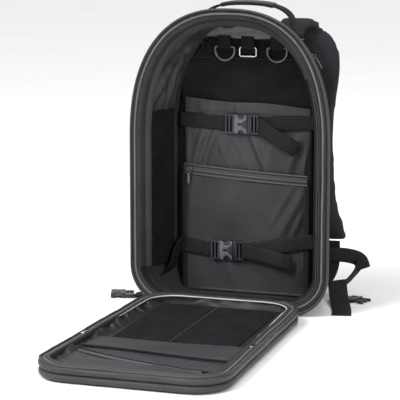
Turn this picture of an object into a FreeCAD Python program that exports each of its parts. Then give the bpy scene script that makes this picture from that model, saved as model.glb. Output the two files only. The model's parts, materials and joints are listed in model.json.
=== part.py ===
import FreeCAD, Part
import math
import os

# Trauma backpack, standing open: its front lid is unzipped and lies flat on the floor.
# Millimetres. +X to the viewer's right, +Y towards the wearer's back, +Z up.
# The origin is the centre of the bag's base, on the floor.

Vector = FreeCAD.Vector
RIGHT = Vector(1, 0, 0)
BACK = Vector(0, 1, 0)
UP = Vector(0, 0, 1)

# ---- overall size of the bag ----
body_height = 503.0
body_depth = 130.0
front_half_width = 172.0
rear_half_width = 130.0
rear_drop = 33.0
rear_height = body_height - rear_drop
front_corner = 70.0
rear_corner = 48.0
spring_height = 280.0
arch_power = 2.4

# ---- walls and edges ----
wall = 6.0
lining = 2.5
lining_gap = 0.15
rim_width = 24.0
rim_depth = 22.0
groove_width = 8.0
groove_depth = 4.0
coil_height = 1.5
seam_gap = 0.3

# ---- back, from the inside out ----
back_foam_thickness = 4.0
frame_sheet_thickness = 2.0
frame_sheet_margin = 6.0
frame_sheet_mouth = 60.0
back_face_thickness = 6.0
back_pad_thickness = 18.0
back_pad_half_width = 100.0
back_pad_corner = 24.0
lumbar_pad = (52.0, 232.0)
upper_pad = (248.0, 424.0)

# ---- pockets inside ----
sleeve_half_width = 114.0
sleeve_bottom = 24.0
sleeve_top = 338.0
sleeve_hollow = 8.0
mesh_half_width = 111.0
mesh_top = 206.0
mesh_hollow = 8.0
pocket_sheet = 1.6
zipper_drop = 12.0
zipper_tape = 17.0
loop_field_bottom = 408.0
lining_overlap = 12.0
side_loop_depth = 78.0
side_loop_bottom = 58.0
side_pocket_depth = 74.0
side_pocket_bottom = 12.0
side_pocket_top = 208.0

# ---- webbing and buckles ----
webbing_width = 25.0
webbing_thickness = 1.6
strap_anchor = 121.0
strap_gap = 1.2
upper_strap_height = 301.0
upper_buckle_x = -9.0
lower_strap_height = 84.0
lower_buckle_x = -31.0
lower_strap_rise = 22.0
lower_curl = ((-113.0, 98.0), (-120.0, 70.0), (-129.0, 44.0), (-127.4, 43.6), (-118.4, 69.6), (-111.4, 97.6))
buckle_height = 33.0
buckle_thickness = 9.0
buckle_wall = 2.0
buckle_gap = 0.4
socket_length = 24.0
ladder_length = 15.0
ladder_bar = 3.0
arm_thickness = 3.2
arm_root = 10.5
plug_head = 4.0
plug_webbing_gap = 2.2

# ---- rings ----
ring_rod = 2.0
ring_width = 34.0
d_ring_side = 6.0
d_ring_bend = 3.0
square_ring_width = 29.0
square_ring_height = 15.0
ring_drop = 73.0
ring_height = body_height - ring_drop
ring_clearance = 0.25
ring_places = (-41.0, 0.0, 51.0)
ring_loop_width = 23.0

# ---- lid ----
lid_length = 495.0
lid_hinge_half_width = 136.0
lid_end_half_width = 148.0
lid_corner = 55.0
lid_hinge_corner = 66.0
lid_thickness = 28.0
lid_skin = 6.0
lid_wall = 9.0
lid_foam_thickness = 5.5
lid_rim_width = 16.0
lid_rim_height = 7.0
lid_webbing = 1.5
hinge_gap = 0.6
lid_sheet = 2.0
lid_loop_half_width = 98.0
lid_loop_start = 34.0
lid_loop_end = 275.0
lid_band_end = 350.0
lid_pocket_end = 472.0
lid_zipper_left = (-124.0, 372.0)
lid_zipper_right = (92.0, 440.0)
lid_zipper_bow = 9.0
lid_zipper_tape = 8.0
lid_row_count = 6

# ---- outside webbing rows ----
row_pitch = 50.0
row_count = 7
row_first = 44.0
row_thickness = 3.0
row_front_margin = 16.0
row_back_margin = 10.0
gusset_zipper_start = 4.0
gusset_zipper_width = 8.0
gusset_zipper_foot = 150.0
gusset_zipper_height = 1.5
gusset_pull_x = 132.0

# ---- zipper sliders and their pulls ----
slider_length = 11.0
slider_width = 8.0
slider_thickness = 2.2
lug_thickness = 1.8
lug_wall = 0.9
pull_bar = 0.7
pull_clearance = 0.3
pull_lift = 2.2
pull_width = 6.4
pull_yoke = 6.5
pull_leg = 1.3
pull_length = 24.0

# ---- handle and carrying straps ----
handle_half_width = 80.0
handle_above_top = 4.0
handle_foot_drop = 35.0
handle_rise = body_height + handle_above_top
handle_foot = body_height - handle_foot_drop
handle_thickness = 4.0
handle_depth = 26.0
handle_y = 48.0
handle_foot_gap = 4.5
shoulder_thickness = 13.0

front_y = -body_depth / 2
rear_y = body_depth / 2
back_stack = back_foam_thickness + frame_sheet_thickness + back_face_thickness
inside_y = rear_y - back_stack
sleeve_y = inside_y - sleeve_hollow
mesh_y = sleeve_y - pocket_sheet - mesh_hollow
lid_radius = lid_thickness / 2
lid_pivot_y = front_y - hinge_gap - lid_radius
lid_start = front_y - hinge_gap
lid_floor = lid_webbing + lid_skin + lid_foam_thickness

os.makedirs("parts", exist_ok=True)


def save(name, shape):
    solids = shape.Solids
    result = solids[0] if len(solids) == 1 else Part.makeCompound(solids)
    print(name, len(solids), round(result.Volume, 1), result.isValid())
    result.exportStep("parts/" + name + ".step")


def box(x, y, z):
    """A box from three (low, high) pairs."""
    return Part.makeBox(x[1] - x[0], y[1] - y[0], z[1] - z[0], Vector(x[0], y[0], z[0]))


def slab(points, low, high, axis="y"):
    """A polygon of (x, z) points between two depths, or of (x, y) points between two heights."""
    if axis == "y":
        corners = [Vector(a, low, b) for a, b in points]
        along = BACK * (high - low)
    elif axis == "z":
        corners = [Vector(a, b, low) for a, b in points]
        along = UP * (high - low)
    else:
        corners = [Vector(low, a, b) for a, b in points]
        along = RIGHT * (high - low)
    return Part.Face(Part.makePolygon(corners + corners[:1])).extrude(along)


def rounded_slab(x, z, radius, y):
    """An upright plate with rounded corners, given as (low, high) pairs."""
    plate = box(x, y, z)
    upright = [e for e in plate.Edges if abs(e.tangentAt(e.FirstParameter).y) > 0.99]
    return plate.makeFillet(radius, upright)


# ---- the bag's outline at any depth ----

def arch(half_width, top, y, side):
    """Half of the arch, from the side's spring line to the crown."""
    steps = 6
    points = []
    for i in range(steps + 1):
        turn = math.pi / 2 * i / steps
        across = max(math.cos(turn), 0.0) ** (2 / arch_power)
        high = math.sin(turn) ** (2 / arch_power)
        x = 0.0 if i == steps else half_width * across
        points.append(Vector(side * x, y, spring_height + (top - spring_height) * high))
    curve = Part.BSplineCurve()
    curve.interpolate(Points=points, InitialTangent=UP, FinalTangent=RIGHT * -side)
    return curve.toShape()


def outline(half_width, bottom, top, corner, y):
    flat = half_width - corner
    lean = corner * (1 - math.sqrt(0.5))
    low_left = Vector(-flat, y, bottom)
    low_right = Vector(flat, y, bottom)
    side_right = Vector(half_width, y, bottom + corner)
    side_left = Vector(-half_width, y, bottom + corner)
    mid_right = Vector(half_width - lean, y, bottom + lean)
    mid_left = Vector(-half_width + lean, y, bottom + lean)
    left_arch = arch(half_width, top, y, -1)
    left_arch.reverse()
    edges = [
        Part.makeLine(low_left, low_right),
        Part.Arc(low_right, mid_right, side_right).toShape(),
        Part.makeLine(side_right, Vector(half_width, y, spring_height)),
        arch(half_width, top, y, 1),
        left_arch,
        Part.makeLine(Vector(-half_width, y, spring_height), side_left),
        Part.Arc(side_left, mid_left, low_left).toShape(),
    ]
    return Part.Wire(edges)


def section(y, inset):
    """The bag's outline at depth y, drawn in by inset."""
    share = (y - front_y) / body_depth
    half_width = front_half_width + (rear_half_width - front_half_width) * share
    top = body_height + (rear_height - body_height) * share
    corner = front_corner + (rear_corner - front_corner) * share
    return outline(half_width - inset, inset, top - inset, corner - inset, y)


def body_slice(y_low, y_high, inset):
    return Part.makeLoft([section(y_low, inset), section(y_high, inset)], True, True)


def body_ring(y_low, y_high, inset, thickness):
    """A ring of the bag's outline, of the given thickness inwards."""
    return body_slice(y_low, y_high, inset).cut(body_slice(y_low - 1, y_high + 1, inset + thickness))


# ---- body ----

def make_body():
    reach = front_half_width + 20
    shell = body_ring(front_y + rim_depth, rear_y, 0, wall)
    flat = rear_half_width - rear_corner
    floor = box((-flat, flat), (front_y, rear_y + 1), (-1, wall + 1))
    lower = shell.cut(floor)
    save("base_panel", box((-flat, flat), (front_y + rim_depth, rear_y), (0, wall)))
    low = (-1, spring_height)
    high = (spring_height, body_height + 1)
    save("left_side_panel", lower.common(box((-reach, 0), (front_y, rear_y + 1), low)))
    save("right_side_panel", lower.common(box((0, reach), (front_y, rear_y + 1), low)))
    top = shell.common(box((-reach, reach), (front_y, rear_y + 1), high))
    for side in (-1, 1):
        top = top.fuse(handle_foot_tab(side))
    save("top_panel", top)

    foam_end = inside_y + back_foam_thickness
    sheet_end = foam_end + frame_sheet_thickness
    sheet = body_slice(foam_end, sheet_end, wall + frame_sheet_margin)
    mouth = box((-frame_sheet_mouth, frame_sheet_mouth), (foam_end, sheet_end), (spring_height, body_height))
    save("frame_sheet", sheet)
    save("back_panel", body_slice(inside_y, rear_y, wall + lining_gap).cut(sheet).cut(mouth))


def make_opening_rim():
    rim = body_ring(front_y, front_y + rim_depth, 0, rim_width)
    inset = (rim_width - groove_width) / 2
    groove = body_ring(front_y - 1, front_y + groove_depth, inset, groove_width)
    coil = body_ring(front_y + groove_depth - coil_height, front_y + groove_depth, inset, groove_width)
    save("opening_rim", rim.cut(groove))
    save("body_zipper", coil)


def make_lining():
    reach = front_half_width
    start = front_y + rim_depth
    ring = body_ring(start, inside_y, wall + lining_gap, lining - lining_gap)
    upper = sleeve_top - lining_overlap
    save("arch_lining", ring.common(box((-reach, reach), (start, inside_y), (upper, body_height))))
    left = box((-reach, 0), (start, start + side_loop_depth), (side_loop_bottom, upper - 2))
    save("left_loop_panel", ring.common(left))
    right = box((0, reach), (start, start + side_pocket_depth), (side_pocket_bottom, side_pocket_top))
    save("right_side_pocket", ring.common(right))
    field = body_slice(inside_y - pocket_sheet, inside_y, wall + lining + lining_gap)
    save("upper_loop_field", field.common(box((-reach, reach), (0, inside_y), (loop_field_bottom, body_height))))


def make_back_pads():
    back = rear_y + back_pad_thickness
    sides = (-back_pad_half_width, back_pad_half_width)
    pads = []
    for heights in (lumbar_pad, upper_pad):
        pads.append(rounded_slab(sides, heights, back_pad_corner, (rear_y, back)))
    save("back_pads", Part.makeCompound(pads))


# ---- pockets on the back panel ----

def tilted(shape, height):
    """Turn a piece to the mesh pocket's sloping top edge."""
    slope = math.degrees(math.atan2(zipper_drop, 2 * mesh_half_width))
    shape.rotate(Vector(0, 0, height), BACK, slope)
    return shape


def make_pockets():
    outer = box((-sleeve_half_width, sleeve_half_width), (sleeve_y - pocket_sheet, inside_y),
                (sleeve_bottom, sleeve_top))
    inner_half = sleeve_half_width - pocket_sheet
    inner = box((-inner_half, inner_half), (sleeve_y, inside_y + 1),
                (sleeve_bottom + pocket_sheet, sleeve_top + 1))
    save("sleeve_pocket", outer.cut(inner))

    high = mesh_top + zipper_drop / 2
    low = mesh_top - zipper_drop / 2
    edge = mesh_half_width
    face_y = mesh_y - pocket_sheet
    outer = slab([(-edge, sleeve_bottom), (edge, sleeve_bottom), (edge, low), (-edge, high)],
                 face_y, sleeve_y - pocket_sheet)
    edge = mesh_half_width - pocket_sheet
    inner = box((-edge, edge), (mesh_y, sleeve_y), (sleeve_bottom + pocket_sheet, high + 10))
    save("mesh_pocket", outer.cut(inner))

    band = slab([(mesh_y - pocket_sheet, mesh_top), (mesh_y, mesh_top),
                 (mesh_y, mesh_top + zipper_tape - pocket_sheet),
                 (sleeve_y - pocket_sheet, mesh_top + zipper_tape - pocket_sheet),
                 (sleeve_y - pocket_sheet, mesh_top + zipper_tape),
                 (mesh_y - pocket_sheet, mesh_top + zipper_tape)],
                -mesh_half_width, mesh_half_width, "x")
    middle = mesh_top + zipper_tape / 2
    teeth = box((-mesh_half_width + 2, mesh_half_width - 2), (face_y - coil_height, face_y),
                (middle - 2, middle + 2))
    save("pocket_zipper", Part.makeCompound([tilted(band, mesh_top), tilted(teeth, mesh_top)]))

    slider_x = -mesh_half_width + slider_length
    slider_y = face_y - coil_height - seam_gap
    half = slider_width / 2
    slider = box((slider_x - slider_length / 2, slider_x + slider_length / 2),
                 (slider_y - slider_thickness, slider_y), (middle - half, middle + half))
    lug = pull_lug()
    lug.rotate(Vector(0, 0, 0), UP, 90)
    lug.rotate(Vector(0, 0, 0), RIGHT, 90)
    lug.translate(Vector(slider_x, slider_y - slider_thickness, middle))
    save("pocket_slider", tilted(slider.fuse(lug), mesh_top))
    pivot = Part.Vertex(slider_x, slider_y - slider_thickness - pull_lift, middle)
    pull = pull_tab()
    pull.rotate(Vector(0, 0, 0), UP, 90)
    pull.rotate(Vector(0, 0, 0), RIGHT, -90)
    pull.translate(tilted(pivot, mesh_top).Point)
    save("pocket_pull", pull)


# ---- zipper pulls ----

def pull_lug():
    """A slider's lug, standing on z = 0, with a bore along Y for the pull's bar."""
    hole = pull_bar + pull_clearance
    reach = hole + lug_wall
    lug = box((-reach, reach), (-lug_thickness / 2, lug_thickness / 2), (0, pull_lift + reach))
    return lug.cut(Part.makeCylinder(hole, 2 * lug_thickness, Vector(0, -lug_thickness, pull_lift), BACK))


def pull_tab():
    """A pull lying along +X, with its bar along Y through the origin."""
    half = pull_width / 2
    pull = Part.makeCylinder(pull_bar, pull_width, Vector(0, -half, 0), BACK)
    for side in (-1, 1):
        across = tuple(sorted((side * (half - pull_leg), side * half)))
        pull = pull.fuse(box((-pull_bar, pull_yoke), across, (-pull_bar, pull_bar)))
    thick = pull_bar + 0.2
    return pull.fuse(box((pull_yoke - 0.5, pull_length), (-half + 0.6, half - 0.6), (-thick, thick)))


# ---- hanging rings ----

def rod_loop(points, radius, y):
    """A rod bent round a closed outline of (x, z) points, with rounded corners."""
    count = len(points)
    corners = [Vector(a, y, b) for a, b in points]
    edges = []
    marks = []
    for i, corner in enumerate(corners):
        before = (corners[i - 1] - corner).normalize()
        after = (corners[(i + 1) % count] - corner).normalize()
        marks.append((corner + before * radius, corner, corner + after * radius))
    for i in range(count):
        start, corner, end = marks[i]
        before = (start - corner).normalize()
        after = (end - corner).normalize()
        half = before.getAngle(after) / 2
        reach = radius * math.tan(half)
        centre = corner + (before + after).normalize() * (radius / math.cos(half))
        middle = centre + (corner - centre).normalize() * reach
        edges.append(Part.Arc(start, middle, end).toShape())
        follow = marks[(i + 1) % count][0]
        if (follow - end).Length > 1e-4:
            edges.append(Part.makeLine(end, follow))
    path = Part.Wire(edges)
    start = edges[1].Vertexes[0].Point
    along = edges[1].tangentAt(edges[1].FirstParameter)
    profile = Part.Wire(Part.makeCircle(ring_rod, start, along))
    return path.makePipeShell([profile], True, True)


def d_ring(x):
    """A D ring: a rod bent to a straight bar on top and a half round below."""
    half = ring_width / 2
    y = ring_y()
    low = ring_height - d_ring_side
    bend = d_ring_bend
    tuck = bend * (1 - math.sqrt(0.5))
    edges = []
    for side in (1, -1):
        edge = side * half
        bar_end = Vector(x + edge - side * bend, y, ring_height)
        mid = Vector(x + edge - side * tuck, y, ring_height - tuck)
        leg_top = Vector(x + edge, y, ring_height - bend)
        edges.append([Part.Arc(bar_end, mid, leg_top).toShape(), Part.makeLine(leg_top, Vector(x + edge, y, low))])
    bow = Part.Arc(Vector(x + half, y, low), Vector(x, y, low - half), Vector(x - half, y, low)).toShape()
    bar = Part.makeLine(Vector(x - half + bend, y, ring_height), Vector(x + half - bend, y, ring_height))
    path = Part.Wire(Part.__sortEdges__([bar] + edges[0] + [bow] + edges[1]))
    profile = Part.Wire(Part.makeCircle(ring_rod, Vector(x, y, ring_height), RIGHT))
    return path.makePipeShell([profile], True, True)


def ring_y():
    return inside_y - pocket_sheet - ring_rod - ring_clearance - webbing_thickness - 1.0


def make_rings():
    y = ring_y()
    top = ring_height + 20
    hole = ring_rod + ring_clearance
    outer = hole + webbing_thickness
    loops = []
    for x in ring_places:
        ends = (x - ring_loop_width / 2, x + ring_loop_width / 2)
        strap = box(ends, (y - webbing_thickness, y + webbing_thickness), (ring_height, top))
        bend = Part.makeCylinder(outer, ring_loop_width, Vector(ends[0], y, ring_height), RIGHT)
        bore = Part.makeCylinder(hole, ring_loop_width + 2, Vector(ends[0] - 1, y, ring_height), RIGHT)
        foot = box(ends, (y, inside_y - pocket_sheet), (top - 12, top))
        loops.append(strap.fuse(bend).fuse(foot).cut(bore))
    save("ring_loops", Part.makeCompound(loops))
    save("d_ring_left", d_ring(ring_places[0]))
    save("d_ring_right", d_ring(ring_places[2]))
    half = square_ring_width / 2
    x = ring_places[1]
    low = ring_height - square_ring_height
    corners = [(x - half, ring_height), (x + half, ring_height), (x + half, low), (x - half, low)]
    save("square_ring", rod_loop(corners, 3.0, y))


# ---- side-release buckles, drawn flat: length along X, height along Z, back face at y = 0 ----

def ladder(x_low, x_high):
    """A frame with two slots and three bars, for the webbing."""
    half = buckle_height / 2
    frame = box((x_low, x_high), (-buckle_thickness * 0.75, -buckle_thickness * 0.2), (-half, half))
    slot = (x_high - x_low - 3 * ladder_bar) / 2
    for i in range(2):
        x = x_low + ladder_bar + i * (slot + ladder_bar)
        frame = frame.cut(box((x, x + slot), (-20, 5), (-half + 3, half - 3)))
    return frame


def buckle_socket():
    half = buckle_height / 2
    house = box((-socket_length / 2, socket_length / 2), (-buckle_thickness, 0), (-half, half))
    house = house.makeFillet(1.6, [e for e in house.Edges if abs(e.tangentAt(e.FirstParameter).x) > 0.99])
    inner = half - buckle_wall
    pocket = box((-socket_length / 2 + 3, socket_length / 2 + 1),
                 (-buckle_thickness + buckle_wall, -buckle_wall), (-inner, inner))
    house = house.cut(pocket)
    for side in (-1, 1):
        window = box((-6, 5), (-buckle_thickness + buckle_wall, -buckle_wall),
                     tuple(sorted((side * (inner - 1), side * (half + 1)))))
        scoop = Part.makeCylinder(5.5, buckle_thickness + 2, Vector(-0.5, 1, side * (half + 1.5)), BACK * -1)
        house = house.cut(window).cut(scoop)
    slot = box((-4, 4), (-buckle_thickness - 1, -buckle_thickness + buckle_wall + 1), (-1.6, 1.6))
    return house.cut(slot).fuse(ladder(-socket_length / 2 - ladder_length, -socket_length / 2))


def buckle_plug():
    start = socket_length / 2 + buckle_gap
    stem_y = (-buckle_thickness / 2 - 1.6, -buckle_thickness / 2 + 1.6)
    head = box((start, start + plug_head), (-buckle_thickness * 0.85, -buckle_thickness * 0.15),
               (-buckle_height / 2, buckle_height / 2))
    stem = box((-socket_length / 2 + 5, start), stem_y, (-2.6, 2.6))
    return head.fuse(stem).fuse(ladder(start + plug_head, start + plug_head + ladder_length))


def buckle_arm(side):
    """One of the two springy arms: a thin root that widens to the pad that a thumb presses."""
    start = socket_length / 2 + buckle_gap - 0.5
    depth = (-buckle_thickness / 2 - 1.9, -buckle_thickness / 2 + 1.9)
    limit = buckle_height / 2 - buckle_wall - buckle_gap
    points = [
        (start, side * (arm_root - arm_thickness / 2)),
        (start, side * (arm_root + arm_thickness / 2)),
        (5.0, side * (arm_root + arm_thickness / 2)),
        (3.0, side * limit),
        (-6.0, side * limit),
        (-7.5, side * (limit - arm_thickness)),
        (-7.0, side * (limit - arm_thickness - 1.0)),
        (2.0, side * (arm_root - arm_thickness / 2)),
    ]
    return slab(points, depth[0], depth[1])


def place_buckle(shape, x, y, z):
    placed = shape.copy()
    placed.translate(Vector(x, y, z))
    return placed


def lay_buckle(shape, x, y, heading):
    """A buckle half laid flat on the floor, its length turned to a heading."""
    placed = shape.copy()
    placed.rotate(Vector(0, 0, 0), RIGHT, -90)
    placed.rotate(Vector(0, 0, 0), UP, heading)
    placed.translate(Vector(x, y, 0) - UP * placed.BoundBox.ZMin)
    return placed


def strap_run(start, end, y_low, y_high, width=webbing_width):
    """Flat webbing between two (x, z) points, its faces at two depths."""
    run = Vector(end[0] - start[0], 0, end[1] - start[1]).normalize()
    side = Vector(-run.z, 0, run.x) * (width / 2)
    points = [(start[0] - side.x, start[1] - side.z), (end[0] - side.x, end[1] - side.z),
              (end[0] + side.x, end[1] + side.z), (start[0] + side.x, start[1] + side.z)]
    return slab(points, y_low, y_high)


def anchor_tab(x, z, y_low):
    """The end of a strap, turned back to the panel that it is sewn to."""
    ends = (x - webbing_thickness / 2, x + webbing_thickness / 2)
    return box(ends, (y_low, inside_y), (z - webbing_width / 2, z + webbing_width / 2))


def make_compression_strap(name, buckle_x, height, panel_y, right_rise, left_rise, tail, curl=None):
    """A strap in two halves, its buckle, the loose tail on the right and a curled tail on the left."""
    back = panel_y - strap_gap
    front = back - webbing_thickness
    buckle_y = front - seam_gap
    left = (-strap_anchor, height + left_rise)
    right = (strap_anchor, height + right_rise)
    end = socket_length / 2
    run_left = strap_run(left, (buckle_x - end, height - 1), front, back)
    run_left = run_left.fuse(anchor_tab(left[0], left[1], front))
    if curl:
        run_left = Part.makeCompound([run_left, slab(curl, front - webbing_width, front - seam_gap)])
    save(name + "_strap_left", run_left)
    run_right = strap_run((buckle_x + end, height + 1), right, front, back)
    run_right = run_right.fuse(anchor_tab(right[0], right[1], front))
    tail_y = buckle_y - buckle_thickness - seam_gap
    loose = strap_run(tail[0], tail[1], tail_y - webbing_thickness, tail_y)
    save(name + "_strap_right", Part.makeCompound([run_right, loose]))
    save(name + "_buckle_socket", place_buckle(buckle_socket(), buckle_x, buckle_y, height))
    save(name + "_buckle_plug", place_buckle(buckle_plug(), buckle_x, buckle_y, height))
    save(name + "_buckle_arm_low", place_buckle(buckle_arm(-1), buckle_x, buckle_y, height))
    save(name + "_buckle_arm_high", place_buckle(buckle_arm(1), buckle_x, buckle_y, height))


# ---- lid ----

def lid_outline(inset, z):
    """The lid's outline at height z, drawn in by inset: wider at its free end."""
    near = lid_start - inset
    far = lid_start - lid_length + inset
    hinge_half = lid_hinge_half_width - inset
    end_half = lid_end_half_width - inset
    points = [(hinge_half, near), (end_half, far), (-end_half, far), (-hinge_half, near)]
    radii = [lid_hinge_corner - inset, lid_corner - inset, lid_corner - inset, lid_hinge_corner - inset]
    corners = [Vector(a, b, z) for a, b in points]
    edges = []
    ends = []
    for i, corner in enumerate(corners):
        before = (corners[i - 1] - corner).normalize()
        after = (corners[(i + 1) % 4] - corner).normalize()
        half = before.getAngle(after) / 2
        back = radii[i] / math.tan(half)
        centre = corner + (before + after).normalize() * (radii[i] / math.sin(half))
        middle = centre + (corner - centre).normalize() * radii[i]
        ends.append((corner + before * back, middle, corner + after * back))
    for i in range(4):
        start, middle, end = ends[i]
        edges.append(Part.Arc(start, middle, end).toShape())
        edges.append(Part.makeLine(end, ends[(i + 1) % 4][0]))
    return Part.Wire(edges)


def lid_plate(inset, low, high):
    return Part.Face(lid_outline(inset, low)).extrude(UP * (high - low))


def lid_ring(inset, thickness, low, high):
    return lid_plate(inset, low, high).cut(lid_plate(inset + thickness, low - 1, high + 1))


def hinge_trimmed(shape):
    """Round the lid's hinged edge about the hinge axis, so that it turns clear of the bag and the floor."""
    reach = lid_end_half_width + 20
    keep = box((-reach, reach), (lid_start - lid_length - 20, lid_pivot_y), (-1, lid_thickness + 1))
    roll = Part.makeCylinder(lid_radius, 2 * reach, Vector(-reach, lid_pivot_y, lid_radius), RIGHT)
    return shape.common(keep.fuse(roll))


def lid_strip(start, end, half_start, half_end, low, high):
    """A flat piece on the lid's inside, from one distance from the hinge to another."""
    near = lid_start - start
    far = lid_start - end
    return slab([(-half_start, near), (half_start, near), (half_end, far), (-half_end, far)], low, high, "z")


def make_lid():
    skin_top = lid_webbing + lid_skin
    rim_low = lid_thickness - lid_rim_height
    save("lid_panel", hinge_trimmed(lid_plate(0, lid_webbing, skin_top)))
    save("lid_gusset", hinge_trimmed(lid_ring(0, lid_wall, skin_top, rim_low)))
    rim = lid_ring(0, lid_rim_width, rim_low, lid_thickness)
    inset = (lid_rim_width - groove_width) / 2
    groove = lid_ring(inset, groove_width, lid_thickness - groove_depth, lid_thickness + 1)
    coil_low = lid_thickness - groove_depth
    save("lid_rim", hinge_trimmed(rim.cut(groove)))
    save("lid_zipper", hinge_trimmed(lid_ring(inset, groove_width, coil_low, coil_low + coil_height)))
    save("lid_foam", lid_plate(lid_wall, skin_top, lid_floor))

    inner = lid_hinge_half_width - lid_wall - 4
    top = lid_floor + lid_sheet
    loop = lid_strip(lid_loop_start, lid_loop_end, lid_loop_half_width, lid_loop_half_width, lid_floor, top)
    save("lid_loop_panel", loop)
    save("lid_smooth_band", lid_strip(lid_loop_end + 1, lid_band_end, inner, inner, lid_floor, top))
    strip = lid_strip(lid_band_end + 1, lid_pocket_end, inner, inner - 22, lid_floor, top)
    zipper = pocket_zipper_arc(lid_floor, top)
    pieces = sorted(strip.cut(zipper).Solids, key=lambda piece: -piece.CenterOfMass.y)
    save("lid_mesh_strip", pieces[0])
    save("lid_pocket", pieces[1])
    save("lid_pocket_zipper", zipper.common(strip))
    make_lid_pocket_slider(top + seam_gap)

    rows = []
    for i in range(lid_row_count):
        near = 90 + i * 2.5 * webbing_width
        rows.append(lid_strip(near, near + webbing_width, 100, 100, 0, lid_webbing))
    save("lid_webbing_rows", Part.makeCompound(rows))

    for name, side in (("lid_slider_left", -1), ("lid_slider_right", 1)):
        save(name, lid_slider(side))

    flat = lid_hinge_half_width - lid_hinge_corner - 4
    save("hinge_fabric", box((-flat, flat), (front_y - 5, front_y), (0.3, 1.8)))


def lid_zipper_arc():
    """Centre and radius of the curved pocket zipper, which bows towards the free end."""
    left = Vector(lid_zipper_left[0], lid_start - lid_zipper_left[1], 0)
    right = Vector(lid_zipper_right[0], lid_start - lid_zipper_right[1], 0)
    chord = (right - left).Length
    radius = (chord ** 2 / 4 + lid_zipper_bow ** 2) / (2 * lid_zipper_bow)
    towards_hinge = UP.cross(right - left).normalize()
    centre = (left + right) * 0.5 + towards_hinge * (radius - lid_zipper_bow)
    return centre, radius


def pocket_zipper_arc(low, high):
    centre, radius = lid_zipper_arc()
    base = centre + UP * low
    outer = Part.makeCylinder(radius + lid_zipper_tape / 2, high - low, base)
    inner = Part.makeCylinder(radius - lid_zipper_tape / 2, high - low, base)
    return outer.cut(inner)


def make_lid_pocket_slider(low):
    centre = lid_zipper_arc()[0]
    right = Vector(lid_zipper_right[0], lid_start - lid_zipper_right[1], 0)
    x = right.x
    y = right.y
    slider = box((x - 5, x + 5), (y - 4, y + 4), (low, low + 2.4))
    lug = box((x - 3, x + 3), (y - 1.2, y + 1.2), (low + 2.4, low + 4.2))
    tab = box((x - 26, x - 3), (y - 2.8, y + 2.8), (low + 2.6, low + 4.2))
    shape = slider.fuse(lug).fuse(tab)
    along = UP.cross(right - centre)
    shape.rotate(Vector(x, y, 0), UP, math.degrees(math.atan2(along.y, along.x)))
    save("lid_pocket_slider", shape)


def lid_slider(side):
    """A main-zipper slider, low in the groove of the lid's rim."""
    run = (lid_end_half_width - lid_hinge_half_width) / lid_length
    far = 300.0
    inset = lid_rim_width / 2
    x = side * (lid_hinge_half_width + run * far - inset)
    y = lid_start - far
    low = lid_thickness - groove_depth + coil_height + seam_gap
    plate = box((x - 3, x + 3), (y - 8, y + 8), (low, low + 1.9))
    plate.rotate(Vector(x, y, 0), UP, side * math.degrees(math.atan(run)))
    return plate


# ---- outside: webbing rows, rear zipper, handle ----

def make_outside():
    reach = front_half_width + 20
    zipper_low = front_y + rim_depth + gusset_zipper_start
    zipper_high = zipper_low + gusset_zipper_width
    rows = []
    ring = body_ring(front_y + rim_depth + row_front_margin, rear_y - row_back_margin,
                     -row_thickness, row_thickness)
    for i in range(row_count):
        z = row_first + i * row_pitch
        rows.extend(ring.common(box((-reach, reach), (front_y, rear_y), (z, z + webbing_width))).Solids)
    save("side_webbing_rows", Part.makeCompound(rows))

    zipper = body_ring(zipper_low, zipper_high, -gusset_zipper_height, gusset_zipper_height)
    zipper = zipper.common(box((-reach, reach), (front_y, rear_y), (gusset_zipper_foot, body_height + 10)))
    y = (zipper_low + zipper_high) / 2
    point, lean = shoulder_point(y, gusset_pull_x, gusset_zipper_height + seam_gap)
    half = slider_width / 2
    slider = box((-half, half), (-half, half), (0, slider_thickness))
    lug = pull_lug()
    lug.translate(UP * slider_thickness)
    slider = slider.fuse(lug)
    pull = pull_tab()
    pull.translate(UP * (slider_thickness + pull_lift))
    for piece in (slider, pull):
        piece.rotate(Vector(0, 0, 0), BACK, lean)
        piece.translate(point)
    save("gusset_zipper", Part.makeCompound([zipper, slider]))
    save("gusset_pull", pull)


def shoulder_point(y, x, lift):
    """A point just off the arch at the right shoulder, and the surface's lean there in degrees."""
    share = (y - front_y) / body_depth
    half_width = front_half_width + (rear_half_width - front_half_width) * share
    top = body_height + (rear_height - body_height) * share

    def height(across):
        part = 1 - (across / half_width) ** arch_power
        return spring_height + (top - spring_height) * part ** (1 / arch_power)

    slope = (height(x + 1) - height(x - 1)) / 2
    lean = -math.atan(slope)
    normal = Vector(math.sin(lean), 0, math.cos(lean))
    return Vector(x, y, height(x)) + normal * lift, math.degrees(lean)


def make_handle():
    foot = handle_foot
    outer = handle_curve(handle_half_width, handle_rise, foot)
    inner = handle_curve(handle_half_width - handle_thickness, handle_rise - handle_thickness, foot)
    sides = [Part.makeLine(outer.Vertexes[0].Point, inner.Vertexes[0].Point),
             Part.makeLine(outer.Vertexes[-1].Point, inner.Vertexes[-1].Point)]
    wire = Part.Wire(Part.__sortEdges__([outer.Edges[0], sides[1], inner.Edges[0], sides[0]]))
    band = Part.Face(wire).extrude(BACK * handle_depth)
    save("carry_handle", band)


def handle_foot_tab(side):
    """The short end of the handle's webbing, sewn to the top panel."""
    x = side * (handle_half_width - handle_thickness / 2)
    half = handle_thickness / 2
    y = (handle_y - handle_depth / 2 + 6, handle_y + handle_depth / 2 - 6)
    tab = box((x - half, x + half), y, (spring_height, handle_foot - handle_foot_gap))
    return tab.cut(body_slice(front_y, rear_y + 1, 0))


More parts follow.
